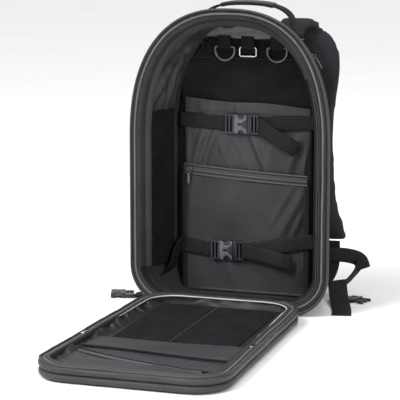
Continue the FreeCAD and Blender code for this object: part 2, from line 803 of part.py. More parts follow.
def handle_curve(half_width, top, foot):
    rise = top - foot
    steps = 8
    points = []
    for i in range(steps + 1):
        turn = math.pi * i / steps
        across = math.copysign(abs(math.cos(turn)) ** 0.8, math.cos(turn))
        points.append(Vector(-half_width * across, handle_y - handle_depth / 2,
                             foot + rise * abs(math.sin(turn)) ** 0.8))
    curve = Part.BSplineCurve()
    curve.interpolate(points)
    return Part.Wire(curve.toShape())


# ---- shoulder straps and their lower webbing ----

# Waist strap: an upright band behind the bag, its fall to the floor, and the left end.
waist_right_band = ((84, 87, 74), (132, 90, 75), (160, 96, 74), (180, 104, 70))
waist_right_fall = ((181, 106, 80), (176, 104, 52), (160, 98, 26), (147, 91, 10), (150, 87, 3.5))
waist_right_tail = ((152, 74, 34), (160, 56, 16), (170, 30, 6), (182, -8, 2.2), (188, -37, 1.4))
waist_tail_width = 32.0
waist_left_run = ((-112, 90, 30), (-138, 82, 16), (-156, 58, 8), (-163, 28, 5), (-166, 10, 4.2))
waist_left_lead = 7.0
waist_plug_place = (200.0, 68.0)
waist_plug_heading = 160.0
waist_socket_place = (-212.0, -18.0)
waist_socket_heading = 198.0

# Centre line of the right shoulder strap: across, back, up, and the strap's width there.
shoulder_stations = (
    (62, 84, 446, 50),
    (76, 108, 470, 56),
    (98, 124, 440, 60),
    (108, 132, 360, 60),
    (103, 130, 290, 60),
    (108, 122, 220, 58),
    (121, 110, 150, 52),
    (137, 103, 96, 42),
)


def strap_sections(stations, thickness, side):
    wires = []
    for i, (x, y, z, width) in enumerate(stations):
        before = stations[max(i - 1, 0)]
        after = stations[min(i + 1, len(stations) - 1)]
        run = Vector(0, after[1] - before[1], after[2] - before[2]).normalize()
        out = RIGHT.cross(run) * (thickness / 2)
        across = RIGHT * (width / 2)
        centre = Vector(side * x, y, z)
        corners = [centre - across - out, centre + across - out, centre + across + out, centre - across + out]
        wires.append(Part.makePolygon(corners + corners[:1]))
    return wires


def make_shoulder_straps():
    for name, side in (("shoulder_strap_left", -1), ("shoulder_strap_right", 1)):
        wires = strap_sections(shoulder_stations, shoulder_thickness, side)
        save(name, Part.makeLoft(wires, True, False))


def lock_frame(x, y, z):
    """A ladder lock: a frame with two slots, hanging below the strap's end."""
    frame = box((x - 16, x + 16), (y - 2.5, y + 2.5), (z - 9, z + 9))
    for shift in (-4.2, 4.2):
        frame = frame.cut(box((x - 13, x + 13), (y - 5, y + 5), (z + shift - 1.9, z + shift + 1.9)))
    return frame


def ribbon(points, half_width, across=RIGHT):
    """Webbing as a chain of flat lengths through 3-D points; with no across, its width stays level."""
    wires = []
    for i, point in enumerate(points):
        before = points[max(i - 1, 0)]
        after = points[min(i + 1, len(points) - 1)]
        run = (Vector(*after) - Vector(*before)).normalize()
        width_line = across or run.cross(UP)
        side = (width_line - run * width_line.dot(run)).normalize() * half_width
        out = side.cross(run).normalize() * (webbing_thickness / 2)
        centre = Vector(*point)
        corners = [centre - side - out, centre + side - out, centre + side + out, centre - side + out]
        wires.append(Part.makePolygon(corners + corners[:1]))
    return Part.makeLoft(wires, True, True)


def make_lower_webbing():
    """The strap webbing under each ladder lock, and the waist strap with its two buckle halves."""
    x, y, z, width = shoulder_stations[-1]
    lock_z = z - 26
    half = webbing_width / 2
    webbing = []
    for name, side in (("left", -1), ("right", 1)):
        save("ladder_lock_" + name, lock_frame(side * x, y + 3.4, lock_z))
        points = [(side * x, y - 1.2, z), (side * x, y - 1.2, lock_z - 18),
                  (side * (x - 8), y - 8, 34), (side * 112, rear_y + 14, 16), (side * 96, rear_y + 3, 13)]
        inside = box((-front_half_width, front_half_width), (front_y, rear_y), (0, spring_height))
        webbing.append(ribbon(points, half).cut(inside))
    webbing.append(ribbon(waist_right_band, half, UP))
    along = Vector(math.cos(math.radians(waist_plug_heading)), math.sin(math.radians(waist_plug_heading)), 0)
    plug_end = socket_length / 2 + buckle_gap + plug_head + ladder_length + plug_webbing_gap
    end = Vector(waist_plug_place[0], waist_plug_place[1], 3) + along * plug_end
    webbing.append(ribbon(waist_right_fall + (tuple(end),), half, UP.cross(along) * -1))
    webbing.append(ribbon(waist_right_tail, waist_tail_width / 2, Vector(0.95, 0.3, 0)))
    turned = math.radians(waist_socket_heading)
    back = Vector(-math.cos(turned), -math.sin(turned), 0)
    socket = Vector(waist_socket_place[0], waist_socket_place[1], 3.2)
    end = socket + back * (socket_length / 2 + ladder_length + plug_webbing_gap)
    left = waist_left_run + (tuple(end + back * waist_left_lead), tuple(end))
    webbing.append(ribbon(left, half, None))
    save("lower_webbing", Part.makeCompound(webbing))
    plug = Part.makeCompound([buckle_plug(), buckle_arm(-1), buckle_arm(1)])
    save("waist_buckle_plug", lay_buckle(plug, waist_plug_place[0], waist_plug_place[1], waist_plug_heading))
    save("waist_buckle_socket", lay_buckle(buckle_socket(), waist_socket_place[0], waist_socket_place[1],
                                           waist_socket_heading))


make_body()
make_opening_rim()
make_lining()
make_back_pads()
make_pockets()
make_rings()
make_compression_strap("upper", upper_buckle_x, upper_strap_height, sleeve_y - pocket_sheet, 6, 4,
                       ((22, 300), (92, 262)))
make_compression_strap("lower", lower_buckle_x, lower_strap_height, mesh_y - pocket_sheet, lower_strap_rise, 4,
                       ((-6, 88), (84, 70)), lower_curl)
make_lid()
make_outside()
make_handle()
make_shoulder_straps()
make_lower_webbing()
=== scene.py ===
import json
import math

import bmesh
import bpy
from mathutils import Matrix, Vector, noise


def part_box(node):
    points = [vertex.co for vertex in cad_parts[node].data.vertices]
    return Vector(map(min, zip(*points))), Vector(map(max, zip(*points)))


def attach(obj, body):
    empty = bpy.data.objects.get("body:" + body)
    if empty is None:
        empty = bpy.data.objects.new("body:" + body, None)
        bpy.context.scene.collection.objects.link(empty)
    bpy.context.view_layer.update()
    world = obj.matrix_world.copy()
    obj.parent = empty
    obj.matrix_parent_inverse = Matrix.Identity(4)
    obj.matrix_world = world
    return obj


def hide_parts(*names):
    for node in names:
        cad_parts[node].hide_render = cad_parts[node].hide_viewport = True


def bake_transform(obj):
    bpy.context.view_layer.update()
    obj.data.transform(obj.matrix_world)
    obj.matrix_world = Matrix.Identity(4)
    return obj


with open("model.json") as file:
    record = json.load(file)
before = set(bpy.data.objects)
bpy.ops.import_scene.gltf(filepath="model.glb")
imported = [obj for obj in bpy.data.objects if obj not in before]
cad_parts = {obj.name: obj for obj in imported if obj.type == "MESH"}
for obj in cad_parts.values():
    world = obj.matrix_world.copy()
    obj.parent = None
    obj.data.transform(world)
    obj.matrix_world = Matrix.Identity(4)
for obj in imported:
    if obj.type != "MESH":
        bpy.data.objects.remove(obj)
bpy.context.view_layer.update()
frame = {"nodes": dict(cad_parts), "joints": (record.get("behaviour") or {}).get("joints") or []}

bl_info = {
    "name": "Clamshell medical backpack",
    "version": (1, 0, 0),
    "blender": (4, 5, 0),
    "location": "View3D > Sidebar > Backpack",
    "description": "Soft goods, hardware and finishes of an open clamshell medical backpack",
    "category": "Object",
}

MM = 0.001

# ---- the bag's outline, from the packed frame ----

rim_low, rim_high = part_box("opening_rim")
back_low, back_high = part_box("back_panel")
FRONT_Y = rim_low.y
SEAM_Y = rim_high.y
BACK_Y = back_low.y
REAR_Y = back_high.y
FRONT_HALF = rim_high.x
FRONT_TOP = rim_high.z
WALL = 6 * MM
SHARE = (REAR_Y - FRONT_Y) / (BACK_Y - FRONT_Y)
REAR_HALF = FRONT_HALF + (back_high.x + WALL - FRONT_HALF) * SHARE
REAR_TOP = FRONT_TOP + (back_high.z + WALL - FRONT_TOP) * SHARE
FRONT_CORNER = 70 * MM
REAR_CORNER = 48 * MM
SPRING = 280 * MM
ARCH = 2.4
# Where the bottom, the corner, the side and the arch end, as shares of half the outline.
PARTS = (0.137, 0.284, 0.565, 1.0)

lid_low, lid_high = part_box("lid_rim")
LID_TOP = lid_high.z
LID_NEAR = lid_high.y
LID_FAR = lid_low.y
LID_HINGE_HALF = 136 * MM
LID_END_HALF = 148 * MM
LID_HINGE_CORNER = 66 * MM
LID_CORNER = 55 * MM
LID_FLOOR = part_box("lid_foam")[1].z


def mix(a, b, share):
    """The value a share of the way from a to b."""
    return a + (b - a) * share


def ease(value, low, high):
    """0 below low, 1 above high, and a smooth rise between them."""
    share = min(1.0, max(0.0, (value - low) / (high - low)))
    return share * share * (3 - 2 * share)


def even(share):
    """Spread a quarter of the arch evenly along its length."""
    a = share ** 1.2
    b = (1 - share) ** 1.2
    return a / (a + b)


def mouth(turn, y, inset=0.0):
    """The outline at depth y, drawn in by inset: turn 0 is the bottom's middle and 0.5 the crown."""
    share = (y - FRONT_Y) / (REAR_Y - FRONT_Y)
    half = mix(FRONT_HALF, REAR_HALF, share) - inset
    top = mix(FRONT_TOP, REAR_TOP, share) - inset
    corner = mix(FRONT_CORNER, REAR_CORNER, share) - inset
    side = 1 if turn <= 0.5 else -1
    k = 2 * (turn if turn <= 0.5 else 1 - turn)
    if k < PARTS[0]:
        x, z = (half - corner) * k / PARTS[0], inset
    elif k < PARTS[1]:
        angle = (k - PARTS[0]) / (PARTS[1] - PARTS[0]) * math.pi / 2
        x = half - corner + corner * math.sin(angle)
        z = inset + corner * (1 - math.cos(angle))
    elif k < PARTS[2]:
        x, z = half, mix(inset + corner, SPRING, (k - PARTS[1]) / (PARTS[2] - PARTS[1]))
    else:
        angle = even((k - PARTS[2]) / (PARTS[3] - PARTS[2])) * math.pi / 2
        x = half * max(math.cos(angle), 0.0) ** (2 / ARCH)
        z = SPRING + (top - SPRING) * max(math.sin(angle), 0.0) ** (2 / ARCH)
    return Vector((side * x, y, z))


def side_x(y, z):
    """Half the bag's width at depth y and height z."""
    share = (y - FRONT_Y) / (REAR_Y - FRONT_Y)
    half = mix(FRONT_HALF, REAR_HALF, share)
    top = mix(FRONT_TOP, REAR_TOP, share)
    corner = mix(FRONT_CORNER, REAR_CORNER, share)
    if z < corner:
        return half - corner + math.sqrt(max(corner ** 2 - (corner - z) ** 2, 0.0))
    if z < SPRING:
        return half
    return half * max(1 - ((z - SPRING) / (top - SPRING)) ** ARCH, 0.0) ** (1 / ARCH)


def lid_corners():
    near, far = LID_NEAR, LID_FAR
    return [((LID_HINGE_HALF, near), LID_HINGE_CORNER), ((-LID_HINGE_HALF, near), LID_HINGE_CORNER),
            ((-LID_END_HALF, far), LID_CORNER), ((LID_END_HALF, far), LID_CORNER)]


def rounded_loop(corners, step=2 * MM):
    """Even points and outward normals round a closed outline with rounded corners, seen from above."""
    marks = []
    count = len(corners)
    for i, (corner, radius) in enumerate(corners):
        here = Vector((*corner, 0))
        before = (Vector((*corners[i - 1][0], 0)) - here).normalized()
        after = (Vector((*corners[(i + 1) % count][0], 0)) - here).normalized()
        half = before.angle(after) / 2
        centre = here + (before + after).normalized() * radius / math.sin(half)
        back = radius / math.tan(half)
        marks.append((here + before * back, centre, here + after * back))
    dense = []
    for i, (start, centre, end) in enumerate(marks):
        sweep = (start - centre).angle(end - centre)
        turn = math.copysign(1, (start - centre).cross(end - centre).z)
        for k in range(24):
            dense.append(centre + Matrix.Rotation(turn * sweep * k / 24, 3, "Z") @ (start - centre))
        follow = marks[(i + 1) % count][0]
        for k in range(24):
            dense.append(end.lerp(follow, k / 24))
    return Loop(dense, step)


class Loop:
    """A closed line with even spacing: a point and an outward normal for any share of its length."""

    def __init__(self, dense, step):
        lengths = [0.0]
        for a, b in zip(dense, dense[1:] + dense[:1]):
            lengths.append(lengths[-1] + (b - a).length)
        self.length = lengths[-1]
        count = int(self.length / step)
        self.points = []
        k = 0
        for i in range(count):
            want = self.length * i / count
            while lengths[k + 1] < want:
                k += 1
            share = (want - lengths[k]) / max(lengths[k + 1] - lengths[k], 1e-9)
            self.points.append(dense[k].lerp(dense[(k + 1) % len(dense)], share))

    def at(self, share):
        count = len(self.points)
        place = (share % 1.0) * count
        k = int(place) % count
        a, b = self.points[k], self.points[(k + 1) % count]
        before, after = self.points[k - 1], self.points[(k + 2) % count]
        along = ((b - before).lerp(after - a, place - int(place))).normalized()
        return a.lerp(b, place - int(place)), along


LID_LOOP = rounded_loop(lid_corners())
MOUTH_LOOP = Loop([mouth(i / 900, FRONT_Y) for i in range(900)], 2 * MM)


def lid_edge(share, inset, z):
    """The lid's outline at height z, drawn in by inset."""
    point, along = LID_LOOP.at(share)
    inward = Vector((-along.y, along.x, 0))
    if inward.dot(Vector((0, (LID_NEAR + LID_FAR) / 2, 0)) - point) < 0:
        inward = -inward
    return Vector((point.x, point.y, z)) + inward * inset


# ---- making meshes ----

def obj_from(bm, name):
    mesh = bpy.data.meshes.new(name)
    bm.to_mesh(mesh)
    bm.free()
    for face in mesh.polygons:
        face.use_smooth = True
    made = bpy.data.objects.new(name, mesh)
    bpy.context.scene.collection.objects.link(made)
    return made


def skin(name, place, across, along, size, loop_across=False, loop_along=False, caps=False):
    """A grid of faces shaped by place(u, v), with u and v from 0 to 1. Its UV map is in metres."""
    bm = bmesh.new()
    uv = bm.loops.layers.uv.new("UVMap")
    bmesh.ops.create_grid(bm, x_segments=across, y_segments=along, size=0.5)
    for face in bm.faces:
        for corner in face.loops:
            co = corner.vert.co
            corner[uv].uv = ((co.x + 0.5) * size[0], (co.y + 0.5) * size[1])
    for vert in bm.verts:
        vert.co = place(min(max(vert.co.x + 0.5, 0), 1), min(max(vert.co.y + 0.5, 0), 1))
    if loop_across or loop_along:
        bmesh.ops.remove_doubles(bm, verts=bm.verts[:], dist=1e-6)
    if caps:
        bmesh.ops.holes_fill(bm, edges=[e for e in bm.edges if e.is_boundary], sides=0)
    bmesh.ops.recalc_face_normals(bm, faces=bm.faces[:])
    return obj_from(bm, name)


def thicken(piece, thickness, offset=0.0):
    wall = piece.modifiers.new("thickness", "SOLIDIFY")
    wall.thickness = thickness
    wall.offset = offset
    return piece


def around(points, share, closed=True):
    """A point on a line through (a, b) pairs, rounded at each of them."""
    count = len(points)
    spans = count if closed else count - 1
    place = min(share, 1 - 1e-9) * spans
    k = int(place)
    f = place - k

    def pick(i):
        return Vector(points[i % count]) if closed else Vector(points[min(max(i, 0), count - 1)])

    p0, p1, p2, p3 = pick(k - 1), pick(k), pick(k + 1), pick(k + 2)
    return 0.5 * ((2 * p1) + (p2 - p0) * f + (2 * p0 - 5 * p1 + 4 * p2 - p3) * f * f
                  + (3 * p1 - p0 - 3 * p2 + p3) * f ** 3)


def ribbon(name, points, across, width, thickness=1.6 * MM, step=4 * MM, sway=0.0):
    """Flat webbing along a smooth line through points; across is its width's direction at each one."""
    length = sum((Vector(b) - Vector(a)).length for a, b in zip(points, points[1:]))
    half, thin = width / 2, thickness / 2
    edge = [(-half, -thin * 0.6), (-half * 0.97, -thin), (-half * 0.5, -thin), (0, -thin),
        (half * 0.5, -thin),
            (half * 0.97, -thin), (half, -thin * 0.6), (half, thin * 0.6), (half * 0.97, thin),
            (half * 0.5, thin),
            (0, thin), (-half * 0.5, thin), (-half * 0.97, thin), (-half, thin * 0.6)]

    def place(u, v):
        centre = around(points, v, False)
        run = (around(points, min(v + 0.01, 1), False) - around(points, max(v - 0.01, 0), False)).normalized()
        side = Vector(around(across, v, False))
        side = (side - run * side.dot(run)).normalized()
        out = run.cross(side)
        a, b = edge[round(u * len(edge)) % len(edge)]
        wave = sway * noise.noise(Vector((v * length * 30, a * 40, length * 100)))
        return centre + side * a + out * (b + wave)

    return skin(name, place, len(edge), max(4, round(length / step)), (2 * width, length), loop_across=True,
        caps=True)


def coil(name, line, length, radius, pitch=2.2 * MM, closed=True):
    """Zipper teeth as one ridged roll: line(v) gives its centre, across and out directions."""
    teeth = round(length / pitch)

    def place(u, v):
        centre, side, out = line(v)
        swell = 0.82 + 0.18 * math.cos(2 * math.pi * v * teeth)
        angle = 2 * math.pi * u
        return centre + side * math.cos(angle) * radius * swell * 1.5 + out * math.sin(angle) * radius * swell

    return skin(name, place, 8, teeth * 4, (4 * radius, length), loop_across=True, loop_along=closed,
        caps=not closed)


def stitches(name, points, normal, length=3 * MM, gap=1.6 * MM, radius=0.35 * MM):
    """A row of thread stitches along a line of points."""
    bm = bmesh.new()
    line = [Vector(p) for p in points]
    want = 0.0
    walked = 0.0
    for a, b in zip(line, line[1:]):
        span = (b - a).length
        while want < walked + span:
            share = (want - walked) / span
            run = (b - a).normalized()
            side = Vector(normal).cross(run).normalized()
            turn = Matrix((run, side, run.cross(side))).transposed().to_4x4()
            place = Matrix.Translation(a.lerp(b, share)) @ turn @ Matrix.Diagonal((length / 2, radius, radius,
                1))
            bmesh.ops.create_uvsphere(bm, u_segments=6, v_segments=4, radius=1.0, matrix=place)
            want += length + gap
        walked += span
    return obj_from(bm, name)


def merged_copy(name, nodes):
    """A copy of CAD nodes as one mesh, its corners merged."""
    bm = bmesh.new()
    for node in nodes:
        bm.from_mesh(frame["nodes"][node].data)
    bmesh.ops.remove_doubles(bm, verts=bm.verts[:], dist=1e-5)
    bmesh.ops.dissolve_limit(bm, angle_limit=math.radians(1), verts=bm.verts[:], edges=bm.edges[:])
    return obj_from(bm, name)


def eased(name, nodes, width, body, material):
    """Hard parts with their edges rounded as moulding or pressing leaves them."""
    piece = merged_copy(name, nodes)
    edge = piece.modifiers.new("edges", "BEVEL")
    edge.width = width
    edge.segments = 3
    edge.limit_method = "ANGLE"
    edge.angle_limit = math.radians(32)
    edge.harden_normals = False
    return finish(piece, material, body, nodes)


def swell(piece, voxel, cap, pressure=4.0, frames=20):
    """Blow a soft piece up a little, as its filling does, and keep the result."""
    form = piece.modifiers.new("even faces", "REMESH")
    form.mode = "VOXEL"
    form.voxel_size = voxel
    replace_mesh(piece)
    rest = [v.co.copy() for v in piece.data.vertices]
    air = piece.modifiers.new("air", "CLOTH")
    air.settings.use_pressure = True
    air.settings.uniform_pressure_force = pressure
    air.settings.effector_weights.gravity = 0
    air.settings.quality = 5
    air.collision_settings.use_collision = False
    air.point_cache.frame_end = frames
    for step in range(1, frames + 1):
        bpy.context.scene.frame_set(step)
    replace_mesh(piece)
    for vert, was in zip(piece.data.vertices, rest):
        moved = vert.co - was
        if moved.length > cap:
            vert.co = was + moved.normalized() * cap
    bpy.context.scene.frame_set(1)
    for face in piece.data.polygons:
        face.use_smooth = True
    fine = piece.modifiers.new("round", "SUBSURF")
    fine.levels = 1
    fine.render_levels = 1
    return piece


def replace_mesh(piece):
    """Apply a piece's modifiers."""
    bpy.context.view_layer.update()
    shown = piece.evaluated_get(bpy.context.evaluated_depsgraph_get())
    mesh = bpy.data.meshes.new_from_object(shown)
    piece.modifiers.clear()
    piece.data = mesh


def finish(piece, material, body, stands_for=()):
    """Give a piece its material, its slot, its body and the CAD nodes that it stands for."""
    piece.data.materials.clear()
    piece.data.materials.append(bpy.data.materials[material])
    if body:
        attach(piece, body)
    if stands_for:
        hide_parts(*stands_for)
    return piece


def crease(x, z, start, end, width, height):
    """One soft fold: its height at (x, z), along a line from start to end."""
    a, b, p = Vector(start), Vector(end), Vector((x, z))
    run = b - a
    share = min(1.0, max(0.0, (p - a).dot(run) / run.length_squared))
    away = (p - a - run * share).length
    return height * math.exp(-(away / width) ** 2) * math.sin(math.pi * (0.12 + 0.76 * share))


def ridges(x, y, sharp=2.0, seed=0.0):
    """Crumples: a ridged noise from 0 to 1."""
    return (1 - min(1.0, abs(noise.noise(Vector((x, y, seed))) * 1.6))) ** sharp


# ---- finishes ----

class BackpackFinish(bpy.types.PropertyGroup):
    """Colours of the bag's cloths and hardware."""
    outer: bpy.props.FloatVectorProperty(name="Outer cloth", description="Coarse woven nylon of the shell",
                                         size=3, subtype="COLOR", default=(0.020, 0.021, 0.023))
    lining: bpy.props.FloatVectorProperty(name="Lining", description="Smooth lining cloth",
                                          size=3, subtype="COLOR", default=(0.036, 0.035, 0.038))
    twill: bpy.props.FloatVectorProperty(name="Pocket twill", description="Grey twill of the sleeve pocket",
                                         size=3, subtype="COLOR", default=(0.038, 0.037, 0.040))
    pile: bpy.props.FloatVectorProperty(name="Loop pile", description="Soft side of the hook and loop panels",
                                        size=3, subtype="COLOR", default=(0.0135, 0.014, 0.0155))
    net: bpy.props.FloatVectorProperty(name="Net", description="Knitted net of the pockets",
                                       size=3, subtype="COLOR", default=(0.043, 0.043, 0.047))
    webbing: bpy.props.FloatVectorProperty(name="Webbing", description="Straps",
                                           size=3, subtype="COLOR", default=(0.014, 0.0145, 0.0155))
    binding: bpy.props.FloatVectorProperty(name="Binding", description="Ribbed tape on the edges",
                                           size=3, subtype="COLOR", default=(0.030, 0.030, 0.032))
    teeth: bpy.props.FloatVectorProperty(name="Zipper coil", description="Nylon teeth",
                                         size=3, subtype="COLOR", default=(0.10, 0.10, 0.105))
    buckle: bpy.props.FloatVectorProperty(name="Buckle", description="Moulded buckles",
                                          size=3, subtype="COLOR", default=(0.012, 0.0125, 0.015))
    steel: bpy.props.FloatVectorProperty(name="Steel", description="Polished ring and slider edges",
                                         size=3, subtype="COLOR", default=(0.55, 0.55, 0.57))


def make_node(tree, kind, **settings):
    """A new node in the tree with its settings."""
    made = tree.nodes.new(kind)
    for name, value in settings.items():
        setattr(made, name, value)
    return made


def feed(tree, socket, value):
    """Link a socket to a socket, or set its constant."""
    if isinstance(value, bpy.types.NodeSocket):
        tree.links.new(value, socket)
    else:
        socket.default_value = value


def calc(tree, operation, a, b=0.0, c=0.0):
    """A maths node's result."""
    made = make_node(tree, "ShaderNodeMath", operation=operation)
    for socket, value in zip(made.inputs, (a, b, c)):
        feed(tree, socket, value)
    return made.outputs[0]


def group_of(name, numbers, outputs):
    """A shader group that takes a Vector and the named numbers."""
    tree = bpy.data.node_groups.new(name, "ShaderNodeTree")
    tree.interface.new_socket("Vector", in_out="INPUT", socket_type="NodeSocketVector")
    for label in numbers:
        tree.interface.new_socket(label, in_out="INPUT", socket_type="NodeSocketFloat")
    for label in outputs:
        tree.interface.new_socket(label, in_out="OUTPUT", socket_type="NodeSocketFloat")
    return tree, make_node(tree, "NodeGroupInput"), make_node(tree, "NodeGroupOutput")


def split(tree, vector):
    """The x, y and z of a vector."""
    made = make_node(tree, "ShaderNodeSeparateXYZ")
    tree.links.new(vector, made.inputs[0])
    return made.outputs


def wave(tree, value):
    """A sine of the value in turns, from 0 to 1."""
    sine = calc(tree, "SINE", calc(tree, "MULTIPLY", value, 2 * math.pi))
    return calc(tree, "MULTIPLY_ADD", sine, 0.5, 0.5)


def noise_of(tree, vector, scale, detail=3.0):
    """Noise over a vector."""
    made = make_node(tree, "ShaderNodeTexNoise")
    tree.links.new(vector, made.inputs["Vector"])
    feed(tree, made.inputs["Scale"], scale)
    made.inputs["Detail"].default_value = detail
    return made.outputs[0]


def make_groups():
    """The effects that several cloths share."""
    tree, given, out = group_of("Twill", ["Threads"], ["Height"])
    x, y, z = split(tree, given.outputs["Vector"])
    u = calc(tree, "MULTIPLY", calc(tree, "ADD", x, calc(tree, "MULTIPLY", z, 0.35)),
        given.outputs["Threads"])
    v = calc(tree, "MULTIPLY", calc(tree, "ADD", y, calc(tree, "MULTIPLY", z, 0.65)),
        given.outputs["Threads"])
    slant = wave(tree, calc(tree, "ADD", u, calc(tree, "MULTIPLY", v, 0.5)))
    cross = wave(tree, calc(tree, "MULTIPLY", v, 2.0))
    height = calc(tree, "ADD", calc(tree, "MULTIPLY", slant, 0.7), calc(tree, "MULTIPLY", cross, 0.3))
    tree.links.new(height, out.inputs["Height"])

    tree, given, out = group_of("Plain weave", ["Threads"], ["Height"])
    x, y, z = split(tree, given.outputs["Vector"])
    threads = given.outputs["Threads"]
    u = wave(tree, calc(tree, "MULTIPLY", calc(tree, "ADD", x, calc(tree, "MULTIPLY", y, 0.5)), threads))
    v = wave(tree, calc(tree, "MULTIPLY", calc(tree, "ADD", z, calc(tree, "MULTIPLY", y, 0.5)), threads))
    difference = calc(tree, "ABSOLUTE", calc(tree, "SUBTRACT", u, v))
    tree.links.new(difference, out.inputs["Height"])

    tree, given, out = group_of("Ribs", ["Ribs"], ["Height"])
    x, y, z = split(tree, given.outputs["Vector"])
    along = wave(tree, calc(tree, "MULTIPLY", x, given.outputs["Ribs"]))
    picks = wave(tree, calc(tree, "MULTIPLY", calc(tree, "ADD", y, calc(tree, "MULTIPLY", x, 0.4)),
                            given.outputs["Ribs"]))
    height = calc(tree, "ADD", calc(tree, "MULTIPLY", along, 0.35), calc(tree, "MULTIPLY", picks, 0.65))
    tree.links.new(height, out.inputs["Height"])

    tree, given, out = group_of("Pile", ["Loops"], ["Height"])
    fine = noise_of(tree, given.outputs["Vector"], given.outputs["Loops"], 4.0)
    coarse = noise_of(tree, given.outputs["Vector"], calc(tree, "MULTIPLY", given.outputs["Loops"], 0.23),
        2.0)
    sharp = make_node(tree, "ShaderNodeMapRange")
    sharp.inputs["From Min"].default_value = 0.36
    sharp.inputs["From Max"].default_value = 0.64
    tree.links.new(fine, sharp.inputs["Value"])
    height = calc(tree, "ADD", calc(tree, "MULTIPLY", sharp.outputs[0], 0.7),
        calc(tree, "MULTIPLY", coarse, 0.4))
    tree.links.new(height, out.inputs["Height"])

    tree, given, out = group_of("Net", ["Cells"], ["Height", "Thread"])
    x, y, z = split(tree, given.outputs["Vector"])
    cells = given.outputs["Cells"]
    u = calc(tree, "SINE", calc(tree, "MULTIPLY", calc(tree, "MULTIPLY", calc(tree, "ADD", x, calc(
        tree, "MULTIPLY", y, 0.62)), cells), 2 * math.pi))
    v = calc(tree, "SINE", calc(tree, "MULTIPLY", calc(tree, "MULTIPLY", calc(tree, "SUBTRACT", x, calc(
        tree, "MULTIPLY", y, 0.62)), cells), 2 * math.pi))
    both = calc(tree, "ADD", u, v)
    thread = calc(tree, "LESS_THAN", both, 0.75)
    tree.links.new(calc(tree, "MULTIPLY_ADD", both, -0.25, 0.5), out.inputs["Height"])
    tree.links.new(thread, out.inputs["Thread"])

    tree, given, out = group_of("Wear", ["Size"], ["Patches", "Grain"])
    patches = noise_of(tree, given.outputs["Vector"], given.outputs["Size"], 4.0)
    grain = noise_of(tree, given.outputs["Vector"], calc(tree, "MULTIPLY", given.outputs["Size"], 40.0), 2.0)
    tree.links.new(patches, out.inputs["Patches"])
    tree.links.new(grain, out.inputs["Grain"])


def place_group(tree, name, vector, **numbers):
    made = make_node(tree, "ShaderNodeGroup", node_tree=bpy.data.node_groups[name])
    tree.links.new(vector, made.inputs["Vector"])
    for label, value in numbers.items():
        made.inputs[label].default_value = value
    return made.outputs


def make_material(name, colour, pattern, count, depth, roughness, coords="UV", contrast=0.5,
                  sheen=0.0, metallic=0.0, coat=0.0, patches=14.0, gloss_spread=0.12, shine=0.5):
    """A cloth or moulding: its pattern shades the colour and lifts the surface by depth metres."""
    material = bpy.data.materials.new(name)
    material.use_nodes = True
    tree = material.node_tree
    surface = tree.nodes["Principled BSDF"]
    source = make_node(tree, "ShaderNodeTexCoord").outputs[coords]
    wear = place_group(tree, "Wear", source, Size=patches)
    labels = {"Twill": "Threads", "Plain weave": "Threads", "Ribs": "Ribs", "Pile": "Loops", "Net": "Cells"}
    shade = calc(tree, "MULTIPLY_ADD", wear["Patches"], 0.9, 0.55)
    height = calc(tree, "MULTIPLY", wear["Grain"], 0.5)
    if pattern:
        made = place_group(tree, pattern, source, **{labels[pattern]: count})
        shade = calc(tree, "MULTIPLY", shade,
            calc(tree, "MULTIPLY_ADD", made["Height"], contrast, 1 - contrast / 2))
        height = calc(tree, "ADD", made["Height"], calc(tree, "MULTIPLY", wear["Grain"], 0.3))
        if pattern == "Net":
            tree.links.new(made["Thread"], surface.inputs["Alpha"])
    tint = make_node(tree, "ShaderNodeMix", data_type="RGBA", blend_type="MULTIPLY")
    tint.inputs["Factor"].default_value = 1.0
    tint.inputs["A"].default_value = (*colour, 1)
    grey = make_node(tree, "ShaderNodeCombineColor")
    for socket in grey.inputs:
        tree.links.new(shade, socket)
    tree.links.new(grey.outputs[0], tint.inputs["B"])
    tree.links.new(tint.outputs["Result"], surface.inputs["Base Color"])
    rough = calc(tree, "MULTIPLY_ADD", wear["Patches"], gloss_spread, roughness - gloss_spread / 2)
    tree.links.new(rough, surface.inputs["Roughness"])
    lift = make_node(tree, "ShaderNodeBump")
    lift.inputs["Distance"].default_value = depth
    tree.links.new(height, lift.inputs["Height"])
    tree.links.new(lift.outputs[0], surface.inputs["Normal"])
    surface.inputs["Sheen Weight"].default_value = sheen
    surface.inputs["Specular IOR Level"].default_value = shine
    surface.inputs["Metallic"].default_value = metallic
    surface.inputs["Coat Weight"].default_value = coat
    surface.inputs["Coat Roughness"].default_value = 0.25
    return material


